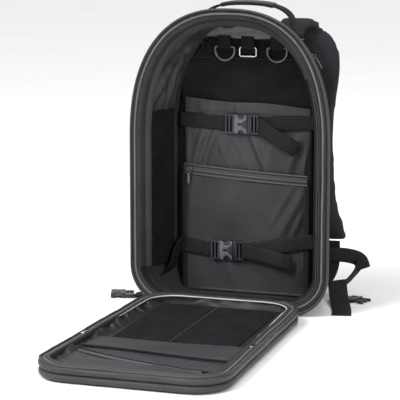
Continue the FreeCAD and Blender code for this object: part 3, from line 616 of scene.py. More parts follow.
def make_finishes(colours):
    """Every material, from the finish settings."""
    make_groups()
    make_material("Outer cloth", colours.outer, "Plain weave", 330, 0.3 * MM, 0.72, "Object", 0.7, shine=0.12)
    make_material("Lining cloth", colours.lining, "Plain weave", 900, 0.08 * MM, 0.45, "Object", 0.2,
        shine=0.35)
    # Painted light: the valance is a much lighter copy of the lining cloth, so it looks lit though it faces
    # down into shade.
    make_material("Valance painted light", (0.16, 0.16, 0.17), "Plain weave", 900, 0.08 * MM, 0.5, "Object", 0.25,
        shine=0.35)
    make_material("Lid lining", (0.017, 0.017, 0.019), "Plain weave", 900, 0.08 * MM, 0.4, "Object", 0.2,
        shine=0.45)
    make_material("Pocket twill", colours.twill, "Twill", 300, 0.25 * MM, 0.5, "UV", 0.8, shine=0.25)
    make_material("Band cloth", colours.lining, "Twill", 500, 0.1 * MM, 0.55, "UV", 0.3, shine=0.2)
    make_material("Hem cloth", colours.twill, "Twill", 500, 0.1 * MM, 0.6, "UV", 0.3, shine=0.3)
    make_material("Loop pile", colours.pile, "Pile", 480, 1.5 * MM, 0.95, "Object", 1.5, patches=30,
        shine=0.05)
    make_material("Back felt", colours.pile, "Pile", 700, 0.6 * MM, 0.95, "Object", 0.8, patches=30,
        shine=0.05)
    make_material("Net cloth", colours.net, "Net", 240, 0.3 * MM, 0.6, "UV", 0.3, shine=0.25)
    make_material("Pad net", colours.net, "Net", 160, 0.8 * MM, 0.8, "Object", 0.9, shine=0.1)
    make_material("Strap webbing", colours.webbing, "Ribs", 370, 0.4 * MM, 0.7, "UV", 0.9, shine=0.12)
    make_material("Edge binding", colours.binding, "Ribs", 420, 0.3 * MM, 0.5, "UV", 0.8, shine=0.4)
    make_material("Zipper coil", colours.teeth, None, 0, 0.1 * MM, 0.5, "UV", coat=0.05, shine=0.3)
    make_material("Zipper tape", colours.binding, "Ribs", 600, 0.15 * MM, 0.5, "UV", 0.6, shine=0.4)
    make_material("Buckle plastic", colours.buckle, None, 0, 0.03 * MM, 0.3, "Object", coat=0.1, patches=60)
    make_material("Buckle face", (0.075, 0.080, 0.098), None, 0, 0.03 * MM, 0.25, "Object", coat=0.3,
        patches=60)
    # Painted highlight: the D-rings' black plastic is given a lighter grey so their bows read bright, as
    # their highlights do.
    make_material("Ring plastic painted highlight", (0.10, 0.10, 0.11), None, 0, 0.03 * MM, 0.2, "Object", coat=0.5, patches=60)
    make_material("Polished steel", colours.steel, None, 0, 0.01 * MM, 0.16, "Object", metallic=1.0,
        patches=80)
    make_material("Slider paint", (0.09, 0.09, 0.10), None, 0, 0.02 * MM, 0.28, "Object", metallic=0.7,
        patches=90)
    make_material("Thread", (0.10, 0.10, 0.105), None, 0, 0.05 * MM, 0.6, "Object", patches=200, shine=0.2)
    # Painted highlight: pale colour for the roll that stands in for the zipper coil's glint along the lid's
    # hinge end.
    make_material("Piping painted highlight", (0.42, 0.42, 0.44), None, 0, 0.1 * MM, 0.5, "Object", patches=40, shine=0.4)
    pad = bpy.data.materials["Pad net"].node_tree
    for link in list(pad.links):
        if link.to_socket.name == "Alpha":
            pad.links.remove(link)


# ---- the mouth's rim ----

RIM_PROFILE = (
    (0.0, 22.0), (-0.8, 18.0), (-1.2, 12.0), (-0.8, 8.2), (1.6, 7.0), (-0.8, 5.8), (-1.4, 3.0), (0.0, 0.4),
    (2.0, -0.8), (3.8, 0.4), (4.6, 3.4), (5.4, 4.0), (6.0, 2.0), (6.9, 1.6), (7.6, 3.4), (8.3, 1.9),
    (9.2, 2.2),
    (9.8, 4.6), (12.0, 5.2), (14.2, 4.6), (14.8, 2.2), (15.7, 1.9), (16.4, 3.4), (17.1, 1.6), (18.0, 2.2),
    (18.6, 4.2), (19.4, 2.4), (20.4, 1.6), (21.6, 2.4), (22.8, 4.6), (23.8, 8.0), (24.0, 13.0), (24.0, 22.0),
    (12.0, 22.0),
)
# Where the painted shade on the lip starts and ends, as shares of the profile: its faces take the darker
# webbing to paint shade and dull the highlight there.
RIM_SHADE_START = 29.5 / 36
RIM_SHADE_END = 35 / 36
# The stretch over the crown and down the left where the lip gets no painted shade, as turns.
RIM_UNSHADED = (0.36, 0.86)


def rim_share(turn):
    """How wide the rim lies: full on the right, rolled in over the crown and down the left."""
    return 1 - 0.30 * ease(turn, 0.33,
        0.46) * (1 - 0.5 * ease(turn, 0.84, 0.93)) * (1 - ease(turn, 0.95, 1.0))


def make_rim():
    """The binding, tape and piping round the mouth, and the coil in its groove."""
    size = (80 * MM, MOUTH_LOOP.length)

    def place(u, v):
        s, h = around(RIM_PROFILE, u)
        ripple = 0.5 * noise.noise(Vector((v * 90, s * 0.2, 0))) * ease(s, 0, 4)
        sway = 0.8 * noise.noise(Vector((v * 22, 3, 0))) * ease(s, 1, 8)
        inset = (s + sway) * rim_share(v) if s > 0 else s
        if s > 9 and h > 20:
            inset = s
        return mouth(v, FRONT_Y + (h + ripple) * MM, inset * MM)

    rim = skin("opening_binding", place, 136, 360, size, loop_across=True, loop_along=True)
    finish(rim, "Edge binding", "bag", ["opening_rim"])
    rim.data.materials.append(bpy.data.materials["Strap webbing"])
    for face in rim.data.polygons:
        where = rim.data.uv_layers[0].data[face.loop_start].uv
        turn = where.y / size[1]
        # Painted shade: lip faces outside the crown and the left take the darker webbing material.
        if RIM_SHADE_START < where.x / size[0] < RIM_SHADE_END and not RIM_UNSHADED[0] < turn < RIM_UNSHADED[1]:
            face.material_index = 1

    def line(v):
        point, along = MOUTH_LOOP.at(v)
        outward = Vector((along.z, 0, -along.x)).normalized()
        sway = 0.8 * noise.noise(Vector((v * 22, 3, 0)))
        centre = Vector((point.x, FRONT_Y + 2.6 * MM, point.z)) - outward * (12 + sway) * rim_share(v) * MM
        return centre, outward, Vector((0, -1, 0))

    teeth = coil("mouth_coil", line, MOUTH_LOOP.length, 1.5 * MM)
    finish(teeth, "Zipper coil", "bag", ["body_zipper"])
    for name, inset in (("outer", 6.9), ("inner", 17.1)):
        row = [mouth(i / 700, FRONT_Y + 1.7 * MM, inset * rim_share(i / 700) * MM) for i in range(701)]
        finish(stitches("rim_stitches_" + name, row, (0, -1, 0)), "Thread", "bag")


# ---- shell ----

def make_shell():
    """The gusset round the bag: crowned between its seams, slightly slack."""
    depth = REAR_Y - SEAM_Y
    profile = [(0, i / 10) for i in range(11)] + [(1, 1), (1, 0.66), (1, 0.33), (1, 0)]
    size = (2 * depth, MOUTH_LOOP.length)

    def place(u, v):
        wall, share = around(profile, u)
        share = min(max(share, 0), 1)
        y = mix(SEAM_Y + 0.2 * MM, REAR_Y, share)
        on_floor = mouth(v, y).z
        free = ease(on_floor, 5 * MM, 50 * MM)
        slack = 1.6 * noise.noise(Vector((v * 26, share * 3.0, 2.0))) + 1.0 * noise.noise(Vector((v * 70,
            share * 7, 5)))
        crown = (2.4 * math.sin(math.pi * share) + slack * math.sin(math.pi * share)) * free
        seam = 1.2 * math.exp(-((share - 0.04) / 0.02) ** 2)
        inset = (wall * 6.0 - (1 - min(max(wall, 0), 1)) * (crown - seam * free)) * MM
        return mouth(v, y, max(inset, 0.0) if on_floor < 1 * MM else inset)

    shell = skin("gusset_shell", place, 60, 380, size, loop_across=True, loop_along=True)
    finish(shell, "Outer cloth", "bag",
           ["base_panel", "left_side_panel", "right_side_panel", "top_panel"])

    def piping(u, v):
        point = mouth(v, REAR_Y - 1 * MM, 0)
        after = mouth((v + 0.002) % 1, REAR_Y - 1 * MM, 0)
        before = mouth((v - 0.002) % 1, REAR_Y - 1 * MM, 0)
        along = (after - before).normalized()
        out = Vector((along.z, 0, -along.x))
        angle = 2 * math.pi * u
        spot = point + (out * math.cos(angle) + Vector((0, 1, 0)) * math.sin(angle)) * 2.4 * MM
        spot.z = max(spot.z, 0.1 * MM)
        return spot

    rear = skin("rear_piping", piping, 10, 300, (15 * MM, MOUTH_LOOP.length), True, True)
    finish(rear, "Edge binding", "bag")


def make_back():
    """The padded back: its panel and the two net-covered pads."""
    panel = merged_copy("back_panel_pad", ["back_panel"])
    swell(panel, 5 * MM, 1.2 * MM)
    finish(panel, "Outer cloth", "bag", ["back_panel"])
    pads = merged_copy("back_cushions", ["back_pads"])
    swell(pads, 5 * MM, 6 * MM)
    for vert in pads.data.vertices:
        across = min(abs(vert.co.x - x) for x in (-0.034, 0.034))
        if vert.co.y > REAR_Y + 6 * MM:
            vert.co.y -= 4 * MM * math.exp(-(across / (4 * MM)) ** 2)
    finish(pads, "Pad net", "bag", ["back_pads"])
    frame["nodes"]["frame_sheet"].data.materials.clear()
    frame["nodes"]["frame_sheet"].data.materials.append(bpy.data.materials["Buckle plastic"])


# ---- lining ----

LINING_INSET = 7.4 * MM


# Folds high on the lining, seen flat: across from the rim, then up round the wall from the bottom's middle.
LINING_FOLDS = (
    ((0.061, 0.415), (0.066, 0.540), 5, 9.0), ((0.010, 0.415), (0.055, 0.515), 7, 8.0),
    ((0.042, 0.425), (0.050, 0.470), 5, 5.0),
    ((0.060, 0.530), (0.093, 0.562), 5, 9.0), ((0.016, 0.490), (0.046, 0.600), 9, 7.0),
    ((0.070, 0.575), (0.030, 0.655), 8, 8.0),
    ((0.088, 0.590), (0.058, 0.680), 6, 7.0), ((0.080, 0.430), (0.084, 0.500), 6, 6.0),
    ((0.012, 0.600), (0.024, 0.680), 8, 5.0),
)
WALL_LENGTH = 0.68


def lining_slack(turn, share):
    """How far the lining stands off the wall, in mm: long folds high on the walls, none behind the panels."""
    k = 2 * (turn if turn <= 0.5 else 1 - turn)
    left = 1.0 if turn > 0.5 else 0.6
    high = ease(k, 0.605, 0.66)
    ends = math.sin(math.pi * min(max(share, 0.0), 1.0)) ** 0.6
    folds = sum(crease(share * 0.098, k * WALL_LENGTH, a, b, w * MM, h) for a, b, w, h in LINING_FOLDS)
    folds += 2.6 * ridges(k * 14 + share * 3, share * 1.4, 3.0, 7.5)
    return folds * high * left * ends


def make_lining():
    """The lining all round the inside, with the loop panel and the net pocket on its walls."""
    depth = BACK_Y - SEAM_Y
    length = MOUTH_LOOP.length * 0.9

    def place(u, v):
        y = mix(SEAM_Y - 1 * MM, BACK_Y - 0.5 * MM, u)
        return mouth(v, y, LINING_INSET + lining_slack(v, u) * MM)

    lining = skin("lining", place, 40, 460, (depth, length), loop_along=True)
    thicken(lining, 0.8 * MM)
    finish(lining, "Lining cloth", "bag", ["arch_lining"])

    for name, node, side, material, slot_name in (
            ("side_loop_panel", "left_loop_panel", -1, "Loop pile", "loop_pile"),
            ("side_net_pocket", "right_side_pocket", 1, "Net cloth", "mesh_fabric")):
        low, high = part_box(node)
        tall = high.z - low.z
        wide = high.y - low.y

        def wall(u, v, low=low, wide=wide, tall=tall, side=side):
            y = low.y + 1 * MM + (wide - 2 * MM) * u
            z = low.z + tall * v
            edge = min(u, 1 - u, v * 2, (1 - v) * 2)
            proud = 2.2 + 0.9 * ease(edge, 0, 0.08) + 1.4 * noise.noise(Vector((u * 2, v * 5, side * 4)))
            proud += 1.8 * ridges(u * 2.2, v * 1.3, 3, side * 3.0)
            if side > 0:
                proud += 2.0 * math.sin(math.pi * u) * ease(v, 0.5, 1.0)
            return Vector((side * (side_x(y, z) - LINING_INSET - proud * MM), y, z))

        piece = skin(name, wall, 24, 80, (wide, tall))
        thicken(piece, 1.4 * MM)
        finish(piece, material, "bag", [node])


def arch_height(x, y, inset):
    """Height of the arch's inside over x."""
    share = (y - FRONT_Y) / (REAR_Y - FRONT_Y)
    half = mix(FRONT_HALF, REAR_HALF, share) - inset
    top = mix(FRONT_TOP, REAR_TOP, share) - inset
    return SPRING + (top - SPRING) * max(1 - (abs(x) / half) ** ARCH, 0.0) ** (1 / ARCH)


def make_back_inside():
    """The loop field at the top, the dark panel below it and the flap that hides the loops' ends."""
    low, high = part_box("upper_loop_field")
    y = high.y - 2.2 * MM

    def field(u, v):
        x = mix(-0.106, 0.106, u)
        top = min(arch_height(x, BACK_Y, 10 * MM), 0.452)
        z = mix(low.z, top, v)
        return Vector((x, y - 0.5 * MM * ease(v, 0, 0.03) - 0.4 * MM * noise.noise(Vector((u * 6, v * 3, 0))),
            z))

    piece = skin("upper_loop_field_pile", field, 50, 14, (0.212, 0.045))
    thicken(piece, 1.2 * MM)
    finish(piece, "Loop pile", "bag", ["upper_loop_field"])
    row = [Vector((mix(-0.104, 0.104, i / 60), y - 1.5 * MM, low.z + 2 * MM)) for i in range(61)]
    finish(stitches("loop_field_stitches", row, (0, -1, 0)), "Thread", "bag")

    def dark(u, v):
        x = mix(-0.119, 0.119, u)
        z = mix(0.330, low.z + 1 * MM, v)
        return Vector((x, BACK_Y - 1.6 * MM - 0.8 * MM * noise.noise(Vector((u * 5, v * 3, 4))), z))

    panel = skin("back_loop_panel", dark, 60, 24, (0.238, 0.08))
    thicken(panel, 1.0 * MM)
    finish(panel, "Back felt", "bag")

    def flap(u, v):
        x = mix(-0.100, 0.098, u)
        edge = 0.4455 + 1.5 * MM * math.sin(u * 9)
        top = arch_height(x, 0.028, 9.5 * MM)
        top = max(top, edge + 2 * MM)
        z = mix(edge, top, v)
        fold = crease(u, v, (0.05, 0.25), (0.85, 0.75), 0.10, 3.2) + crease(u, v, (0.3, 0.9), (0.97, 0.3),
            0.07, 2.6)
        fold += 2.2 * ridges(u * 7 + v, v * 1.6, 3, 12.0) * (1 - v)
        gather = 3.0 * math.exp(-((u - 0.10) / 0.05) ** 2) * (1 - v)
        return Vector((x, mix(BACK_Y - 5.6 * MM, 0.026,
            v ** 1.3) - (fold + gather) * MM * math.sin(math.pi * (0.15 + 0.7 * v)), z))

    hood = skin("top_flap", flap, 110, 26, (0.2, 0.045))
    thicken(hood, 0.9 * MM)
    # Painted light: the flap takes the lighter valance cloth to stand in for light it does not get.
    finish(hood, "Valance painted light", "bag")


# ---- pockets on the back ----

SLEEVE_FOLDS = (
    ((-0.066, 0.322), (-0.100, 0.205), 7, 7.0), ((-0.052, 0.300), (-0.080, 0.212), 6, 6.0),
    ((-0.030, 0.296), (-0.046, 0.232), 8, 3.6), ((0.004, 0.290), (0.040, 0.214), 6, 6.0),
    ((0.050, 0.286), (0.034, 0.215), 9, 3.2), ((0.094, 0.282), (0.070, 0.212), 8, 5.6),
    ((0.106, 0.262), (0.098, 0.205), 5, 5.0), ((-0.020, 0.340), (-0.014, 0.308), 5, 3.2),
    ((0.050, 0.338), (0.064, 0.306), 9, 2.4), ((-0.088, 0.338), (-0.066, 0.310), 8, 3.2),
    ((-0.108, 0.290), (-0.104, 0.210), 6, 4.0),
)


def sleeve_surface(x, z):
    """Depth of the sleeve's face: slack between the strap that squeezes it and the pocket below."""
    low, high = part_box("sleeve_pocket")
    squeezed = math.exp(-((z - 0.301) / 0.015) ** 2)
    proud = sum(crease(x, z, a, b, w * MM, h) for a, b, w, h in SLEEVE_FOLDS)
    proud += 2.4 * math.sin(math.pi * min(max((z - 0.2) / 0.09, 0), 1))
    proud += 1.8 * ridges(x * 30 + z * 9, z * 12, 2.5, 5.0)
    edge = ease(0.1135 - abs(x), 0.0, 0.010)
    y = low.y + 0.4 * MM - proud * (1 - squeezed) * edge * MM
    return mix(high.y - 1.5 * MM, y, ease(0.1142 - abs(x), 0.0, 0.004))


def make_sleeve():
    """The sleeve pocket on the back panel."""
    low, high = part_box("sleeve_pocket")

    def top_edge(x):
        return high.z - 2.0 * MM - 5 * MM * x / high.x + 1.5 * MM * math.sin(x * 40)

    def place(u, v):
        x = mix(low.x, high.x, u)
        z = mix(low.z, top_edge(x), v)
        return Vector((x, sleeve_surface(x, z), z))

    sleeve = skin("sleeve", place, 130, 170, (high.x - low.x, high.z - low.z))
    thicken(sleeve, 1.0 * MM)
    finish(sleeve, "Pocket twill", "bag", ["sleeve_pocket"])
    make_sleeve_hem(low, high, top_edge)


def make_sleeve_hem(low, high, top_edge):
    """The folded hem along the sleeve's mouth."""
    def place(u, v):
        x = mix(low.x + 1 * MM, high.x - 1 * MM, v)
        a, b = around([(-0.4, 0.5), (0.3, 0.9), (9.0, 1.0), (17.0, 0.9), (18.0, 0.4), (17, -0.2), (9, -0.2),
            (0.3, -0.2)], u)
        z = top_edge(x) + 0.4 * MM - a * MM
        return Vector((x, sleeve_surface(x, z) - b * MM, z))

    hem = skin("sleeve_hem", place, 24, 130, (38 * MM, high.x - low.x), loop_across=True, caps=True)
    return finish(hem, "Hem cloth", "bag")


NET_FOLDS = (
    ((-0.095, 0.20), (-0.105, 0.12), 8, 4.0), ((0.104, 0.19), (0.060, 0.110), 9, 7.0),
    ((0.108, 0.165), (0.080, 0.105), 6, 5.0),
    ((0.085, 0.20), (0.045, 0.130), 6, 3.6), ((-0.04, 0.075), (-0.02, 0.03), 10, 4.0),
    ((0.03, 0.07), (0.055, 0.03), 12, 3.6),
    ((0.09, 0.07), (0.1, 0.03), 8, 4.4), ((-0.02, 0.20), (-0.03, 0.12), 14, 3.0),
)


def zipper_slope():
    travel = next(j for j in frame["joints"] if j["name"] == "pocket_slider_travel")
    return travel["axis"][2] / travel["axis"][0]


def make_net_pocket():
    """The net pocket, its bindings and the zipper band that slopes across its top."""
    low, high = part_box("mesh_pocket")
    face = low.y
    slope = zipper_slope()
    tape_low, tape_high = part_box("pocket_zipper")
    middle = (tape_low.z + tape_high.z) / 2
    top = middle - 7.5 * MM

    def depth(x, z):
        squeezed = math.exp(-((z - 0.086) / 0.018) ** 2)
        proud = sum(crease(x, z, a, b, w * MM, h) for a, b, w, h in NET_FOLDS)
        proud += 2.5 * math.sin(math.pi * min(max((z - 0.1) / 0.1, 0),
            1)) + 0.8 * noise.noise(Vector((x * 30, z * 30, 0)))
        edge = ease(0.111 - abs(x), 0.0, 0.016)
        y = face + 0.5 * MM - proud * (1 - squeezed) * edge * MM
        return mix(face + 8 * MM, y, ease(0.1112 - abs(x), 0.0, 0.003))

    def place(u, v):
        x = mix(low.x, high.x, u)
        z = mix(10 * MM, top + slope * x, v)
        return Vector((x, depth(x, z), z))

    # Painted shade: a dark felt sheet behind the net stands in for the shade inside the pocket below the
    # zipper.
    def painted_shade_sheet(u, v):
        x = mix(low.x + 2 * MM, high.x - 2 * MM, u)
        z = mix(24 * MM, top + slope * x, v)
        return Vector((x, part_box("sleeve_pocket")[0].y - 3.0 * MM - 0.6 * MM * noise.noise(Vector((x * 20,
            z * 20, 0))), z))

    back = skin("net_painted_shade_sheet", painted_shade_sheet, 60, 50, (high.x - low.x, top - 24 * MM))
    thicken(back, 0.8 * MM)
    finish(back, "Back felt", "bag")

    net = skin("net_pocket", place, 120, 110, (high.x - low.x, top - 10 * MM))
    thicken(net, 0.7 * MM)
    finish(net, "Net cloth", "bag", ["mesh_pocket"])
    for side, name in ((-1, "left"), (1, "right")):
        x = side * (high.x - 3 * MM)
        points = [Vector((x, depth(x, z) - 1.0 * MM, z)) for z in (0.012, 0.05, 0.1, 0.15, top + slope * x)]
        piece = ribbon("net_binding_" + name, points, [(1, 0, 0)] * len(points), 9 * MM, 1.2 * MM)
        finish(piece, "Strap webbing", "bag")

    band = [(-9.5, 0.2), (-9.0, 1.2), (-7.6, 1.9), (-6.2, 1.2), (-5.2, 0.8), (-3.0, 1.2), (-2.2, 2.0),
        (-1.2, 1.0),
            (1.2, 1.0), (2.2, 2.0), (3.0, 1.2), (5.2, 0.8), (6.2, 1.2), (7.6, 1.9), (9.0, 1.2), (9.5, 0.2),
            (0, -0.2)]

    def tape(u, v):
        a, b = around(band, u)
        x = mix(low.x + 1 * MM, high.x - 1 * MM, v)
        bow = -1.5 * MM * math.sin(math.pi * v)
        return Vector((x, face - (b - 0.4) * MM, middle + slope * x + a * MM + bow))

    zipper = skin("pocket_zipper_band", tape, 68, 110, (30 * MM, high.x - low.x), loop_across=True, caps=True)
    finish(zipper, "Zipper tape", "bag", ["pocket_zipper"])

    def line(v):
        x = mix(low.x + 4 * MM, high.x - 4 * MM, v)
        return (Vector((x, face - 0.8 * MM, middle + slope * x - 1.5 * MM * math.sin(math.pi * v))),
                Vector((0, 0, 1)), Vector((0, -1, 0)))

    teeth = coil("pocket_coil", line, high.x - low.x - 8 * MM, 0.8 * MM, 1.6 * MM, closed=False)
    finish(teeth, "Zipper coil", "bag")
    eased("pocket_slider_body", ["pocket_slider"], 0.5 * MM, "pocket_slider", "Slider paint")
    eased("pocket_pull_tab", ["pocket_pull"], 0.4 * MM, "pocket_pull", "Slider paint")


# ---- rings and their loops ----

def make_rings():
    """The webbing loops that hold the rings."""
    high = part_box("ring_loops")[1]
    bar = next(j for j in frame["joints"] if j["name"] == "square_ring_swing")["pos_m"]
    for i, name in enumerate(("d_ring_left", "square_ring", "d_ring_right")):
        box_low, box_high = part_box(name)
        x = (box_low.x + box_high.x) / 2
        y, z = bar[1], bar[2]
        radius = 3.3 * MM
        points = [Vector((x, y - radius * 0.9, high.z - 1 * MM)), Vector((x, y - radius, z + 8 * MM)),
                  Vector((x, y - radius, z + 1 * MM)), Vector((x, y - radius * 0.7, z - radius * 0.7)),
                  Vector((x, y, z - radius)), Vector((x, y + radius * 0.7, z - radius * 0.7)),
                  Vector((x, y + radius, z + 1 * MM)), Vector((x, y + radius, z + 8 * MM))]
        loop = ribbon(f"ring_loop_{i + 1}", points, [(1, 0, 0)] * 8, 22.5 * MM, 1.4 * MM, 1.2 * MM)
        finish(loop, "Strap webbing", "bag")
    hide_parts("ring_loops")
    # The D-rings take the lightened plastic as a painted highlight.
    for node, material in (("d_ring_left", "Ring plastic painted highlight"), ("d_ring_right", "Ring plastic painted highlight"),
                           ("square_ring", "Polished steel")):
        ring = frame["nodes"][node]
        ring.data.materials.clear()
        ring.data.materials.append(bpy.data.materials[material])


# ---- compression straps ----

def make_compression_straps():
    """The two straps across the bag, with their loose tails."""
    for name in ("upper", "lower"):
        socket_low, socket_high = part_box(name + "_buckle_socket")
        plug_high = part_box(name + "_buckle_plug")[1]
        z = (socket_low.z + socket_high.z) / 2
        y = socket_high.y + 0.9 * MM
        width = 25 * MM
        end_x = 0.121
        rise = 6 * MM if name == "upper" else 22 * MM
        slack = 0.8 * MM
        left = [Vector((-end_x, BACK_Y - 2 * MM, z + 4 * MM)),
            Vector((-end_x + 1 * MM, y + 4 * MM, z + 4 * MM)),
                Vector((-end_x + 7 * MM, y, z + 4 * MM)), Vector((-0.08, y - slack, z + 2 * MM)),
                Vector((socket_low.x - 14 * MM, y, z)), Vector((socket_low.x + 5 * MM, y - 1.2 * MM, z)),
                Vector((socket_low.x + 12 * MM, y, z))]
        piece = ribbon(name + "_strap_long", left, [(0, 0.05, 1)] * len(left), width, sway=1.0 * MM)
        finish(piece, "Strap webbing", "bag", [name + "_strap_left"])
        right = [Vector((plug_high.x - 12 * MM, y, z)), Vector((plug_high.x - 5 * MM, y - 1.2 * MM, z)),
                 Vector((plug_high.x + 12 * MM, y, z + rise * 0.1)),
                 Vector((0.06, y - slack, z + rise * 0.55)), Vector((end_x - 8 * MM, y, z + rise)),
                 Vector((end_x - 1 * MM, y + 4 * MM, z + rise)), Vector((end_x, BACK_Y - 2 * MM, z + rise))]
        piece = ribbon(name + "_strap_short", right, [(0, 0.05, 1)] * len(right), width, sway=1.0 * MM)
        finish(piece, "Strap webbing", "bag", [name + "_strap_right"])
        front = socket_low.y - 0.8 * MM
        if name == "upper":
            tail = [(plug_high.x - 2 * MM, front + 5 * MM, z),
                (plug_high.x + 8 * MM, front + 0.5 * MM, z - 4 * MM),
                    (0.050, front + 1 * MM, z - 17 * MM), (0.070, front - 1.5 * MM, z - 27 * MM),
                    (0.090, front, z - 37 * MM)]
            lean = [(0.1, 0, 1), (0.3, 0, 1), (0.45, 0, 1), (0.5, 0.1, 1), (0.5, 0, 1)]
        else:
            tail = [(plug_high.x - 2 * MM, front + 5 * MM, z), (plug_high.x + 8 * MM, front + 0.5 * MM, z),
                    (0.030, front + 1 * MM, z - 3 * MM), (0.058, front - 1.5 * MM, z - 8 * MM),
                    (0.084, front, z - 14 * MM)]
            lean = [(0.05, 0, 1), (0.1, 0, 1), (0.16, 0, 1), (0.2, 0.12, 1), (0.2, 0, 1)]
        loose = ribbon(name + "_strap_tail", [Vector(p) for p in tail], lean, width, sway=1.2 * MM)
        finish(loose, "Strap webbing", name + "_buckle_plug")
        run = (Vector(tail[-1]) - Vector(tail[-2])).normalized()
        fold = [Vector(tail[-1]) - run * 15 * MM + Vector((0, -1.5 * MM, 0)), Vector(tail[-1]) - run * 7 * MM
                + Vector((0, -1.6 * MM, 0)), Vector(tail[-1]) + run * 1.5 * MM + Vector((0, -1.2 * MM, 0))]
        hem = ribbon(name + "_tail_hem", fold, [lean[-1]] * 3, width * 1.01, 1.3 * MM, 2 * MM)
        finish(hem, "Strap webbing", name + "_buckle_plug")
    curl = [(-0.108, 0.030, 0.100), (-0.115, 0.020, 0.086), (-0.119, 0.014, 0.070), (-0.124, 0.010, 0.054),
            (-0.135, 0.006, 0.042), (-0.148, 0.004, 0.038)]
    piece = ribbon("lower_strap_curl", [Vector(p) for p in curl], [(0.25, 1, 0.1)] * 6, 24 * MM,
        sway=1.0 * MM)
    finish(piece, "Strap webbing", "bag")


FACE_PLATE = (
    (-9.5, 15.6), (-4.5, 16.1), (-3.4, 12.0), (-1.6, 9.4), (1.4, 8.4), (4.6, 9.0), (7.2, 11.2), (9.0, 15.0),
    (11.4, 16.0),
    (11.4, 9.6), (8.4, 6.2), (4.4, 4.6), (3.9, 1.9), (-3.9, 1.9), (-3.9, -1.9), (3.9, -1.9), (4.4, -4.6),
    (8.4, -6.2),
    (11.4, -9.6), (11.4, -16.0), (9.0, -15.0), (7.2, -11.2), (4.6, -9.0), (1.4, -8.4), (-1.6, -9.4),
    (-3.4, -12.0),
    (-4.5, -16.1), (-9.5, -15.6), (-10.4, -9.0), (-10.4, 9.0),
)


def make_face_plate(name, node):
    """The raised glossy face of a buckle's socket: waisted, with a slot."""
    low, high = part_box(node)
    right = high.x - 12 * MM
    middle = (low.z + high.z) / 2
    bm = bmesh.new()
    face = bm.faces.new([bm.verts.new((right + x * MM, low.y + 0.35 * MM, middle + z * MM)) for x,
        z in FACE_PLATE])
    raised = bmesh.ops.extrude_face_region(bm, geom=[face])
    for vert in raised["geom"]:
        if isinstance(vert, bmesh.types.BMVert):
            vert.co.y -= 0.9 * MM
    bmesh.ops.recalc_face_normals(bm, faces=bm.faces[:])
    plate = obj_from(bm, name)
    edge = plate.modifiers.new("edges", "BEVEL")
    edge.width = 0.45 * MM
    edge.segments = 3
    edge.limit_method = "ANGLE"
    return finish(plate, "Buckle face", "bag")


def make_buckles():
    """The moulded buckles and ladder locks, eased from their CAD solids."""
    for name in ("upper", "lower"):
        make_face_plate(name + "_face_plate", name + "_buckle_socket")
        eased(name + "_socket", [name + "_buckle_socket"], 0.7 * MM, "bag", "Buckle plastic")
        eased(name + "_plug", [name + "_buckle_plug"], 0.6 * MM, name + "_buckle_plug", "Buckle plastic")
        for arm in ("low", "high"):
            node = f"{name}_buckle_arm_{arm}"
            eased(f"{name}_arm_{arm}", [node], 0.5 * MM, node, "Buckle plastic")
    eased("waist_plug", ["waist_buckle_plug"], 0.6 * MM, "waist_buckle_plug", "Buckle plastic")
    eased("waist_socket", ["waist_buckle_socket"], 0.7 * MM, "waist_buckle_socket", "Buckle plastic")
    for side in ("left", "right"):
        node = "ladder_lock_" + side
        eased(side + "_ladder_lock", [node], 0.7 * MM, node, "Buckle plastic")


# ---- lid ----

LID_PROFILE = (
    (6.0, 2.0), (2.4, 2.6), (0.0, 4.6), (-1.3, 8.0), (-0.7, 11.0), (1.2, 12.6), (2.8, 13.4), (1.0, 14.4),
    (-1.0, 16.6), (-1.5, 20.0), (-0.6, 23.0), (0.9, 24.4), (-0.1, 25.6), (0.5, 27.2), (2.2, 28.3),
    (3.6, 27.4),
    (4.1, 26.2), (4.9, 25.0), (8.0, 24.7), (11.1, 25.0), (11.9, 26.2), (13.0, 27.6), (14.8, 27.8),
    (16.2, 26.6),
    (16.4, 23.0), (14.0, 17.0), (12.5, 13.0), (11.0, 9.0), (9.0, 4.0),
)


def lid_drift(share, inset):
    """How far the lid's edge wanders, in mm: across its line and up."""
    across = 1.8 * noise.noise(Vector((share * 14, 0.3, 1)))
    up = 1.3 * noise.noise(Vector((share * 12, 4.1, 2)))
    point = LID_LOOP.at(share)[0]
    near_hinge = 1 - ease(LID_NEAR - point.y, 20 * MM, 70 * MM)
    corner = math.exp(-((point.x + 0.140) / 0.03) ** 2 - ((point.y - LID_FAR - 0.012) / 0.03) ** 2)
    return across * (1 - near_hinge), (up + 2.5 * corner) * (1 - near_hinge)


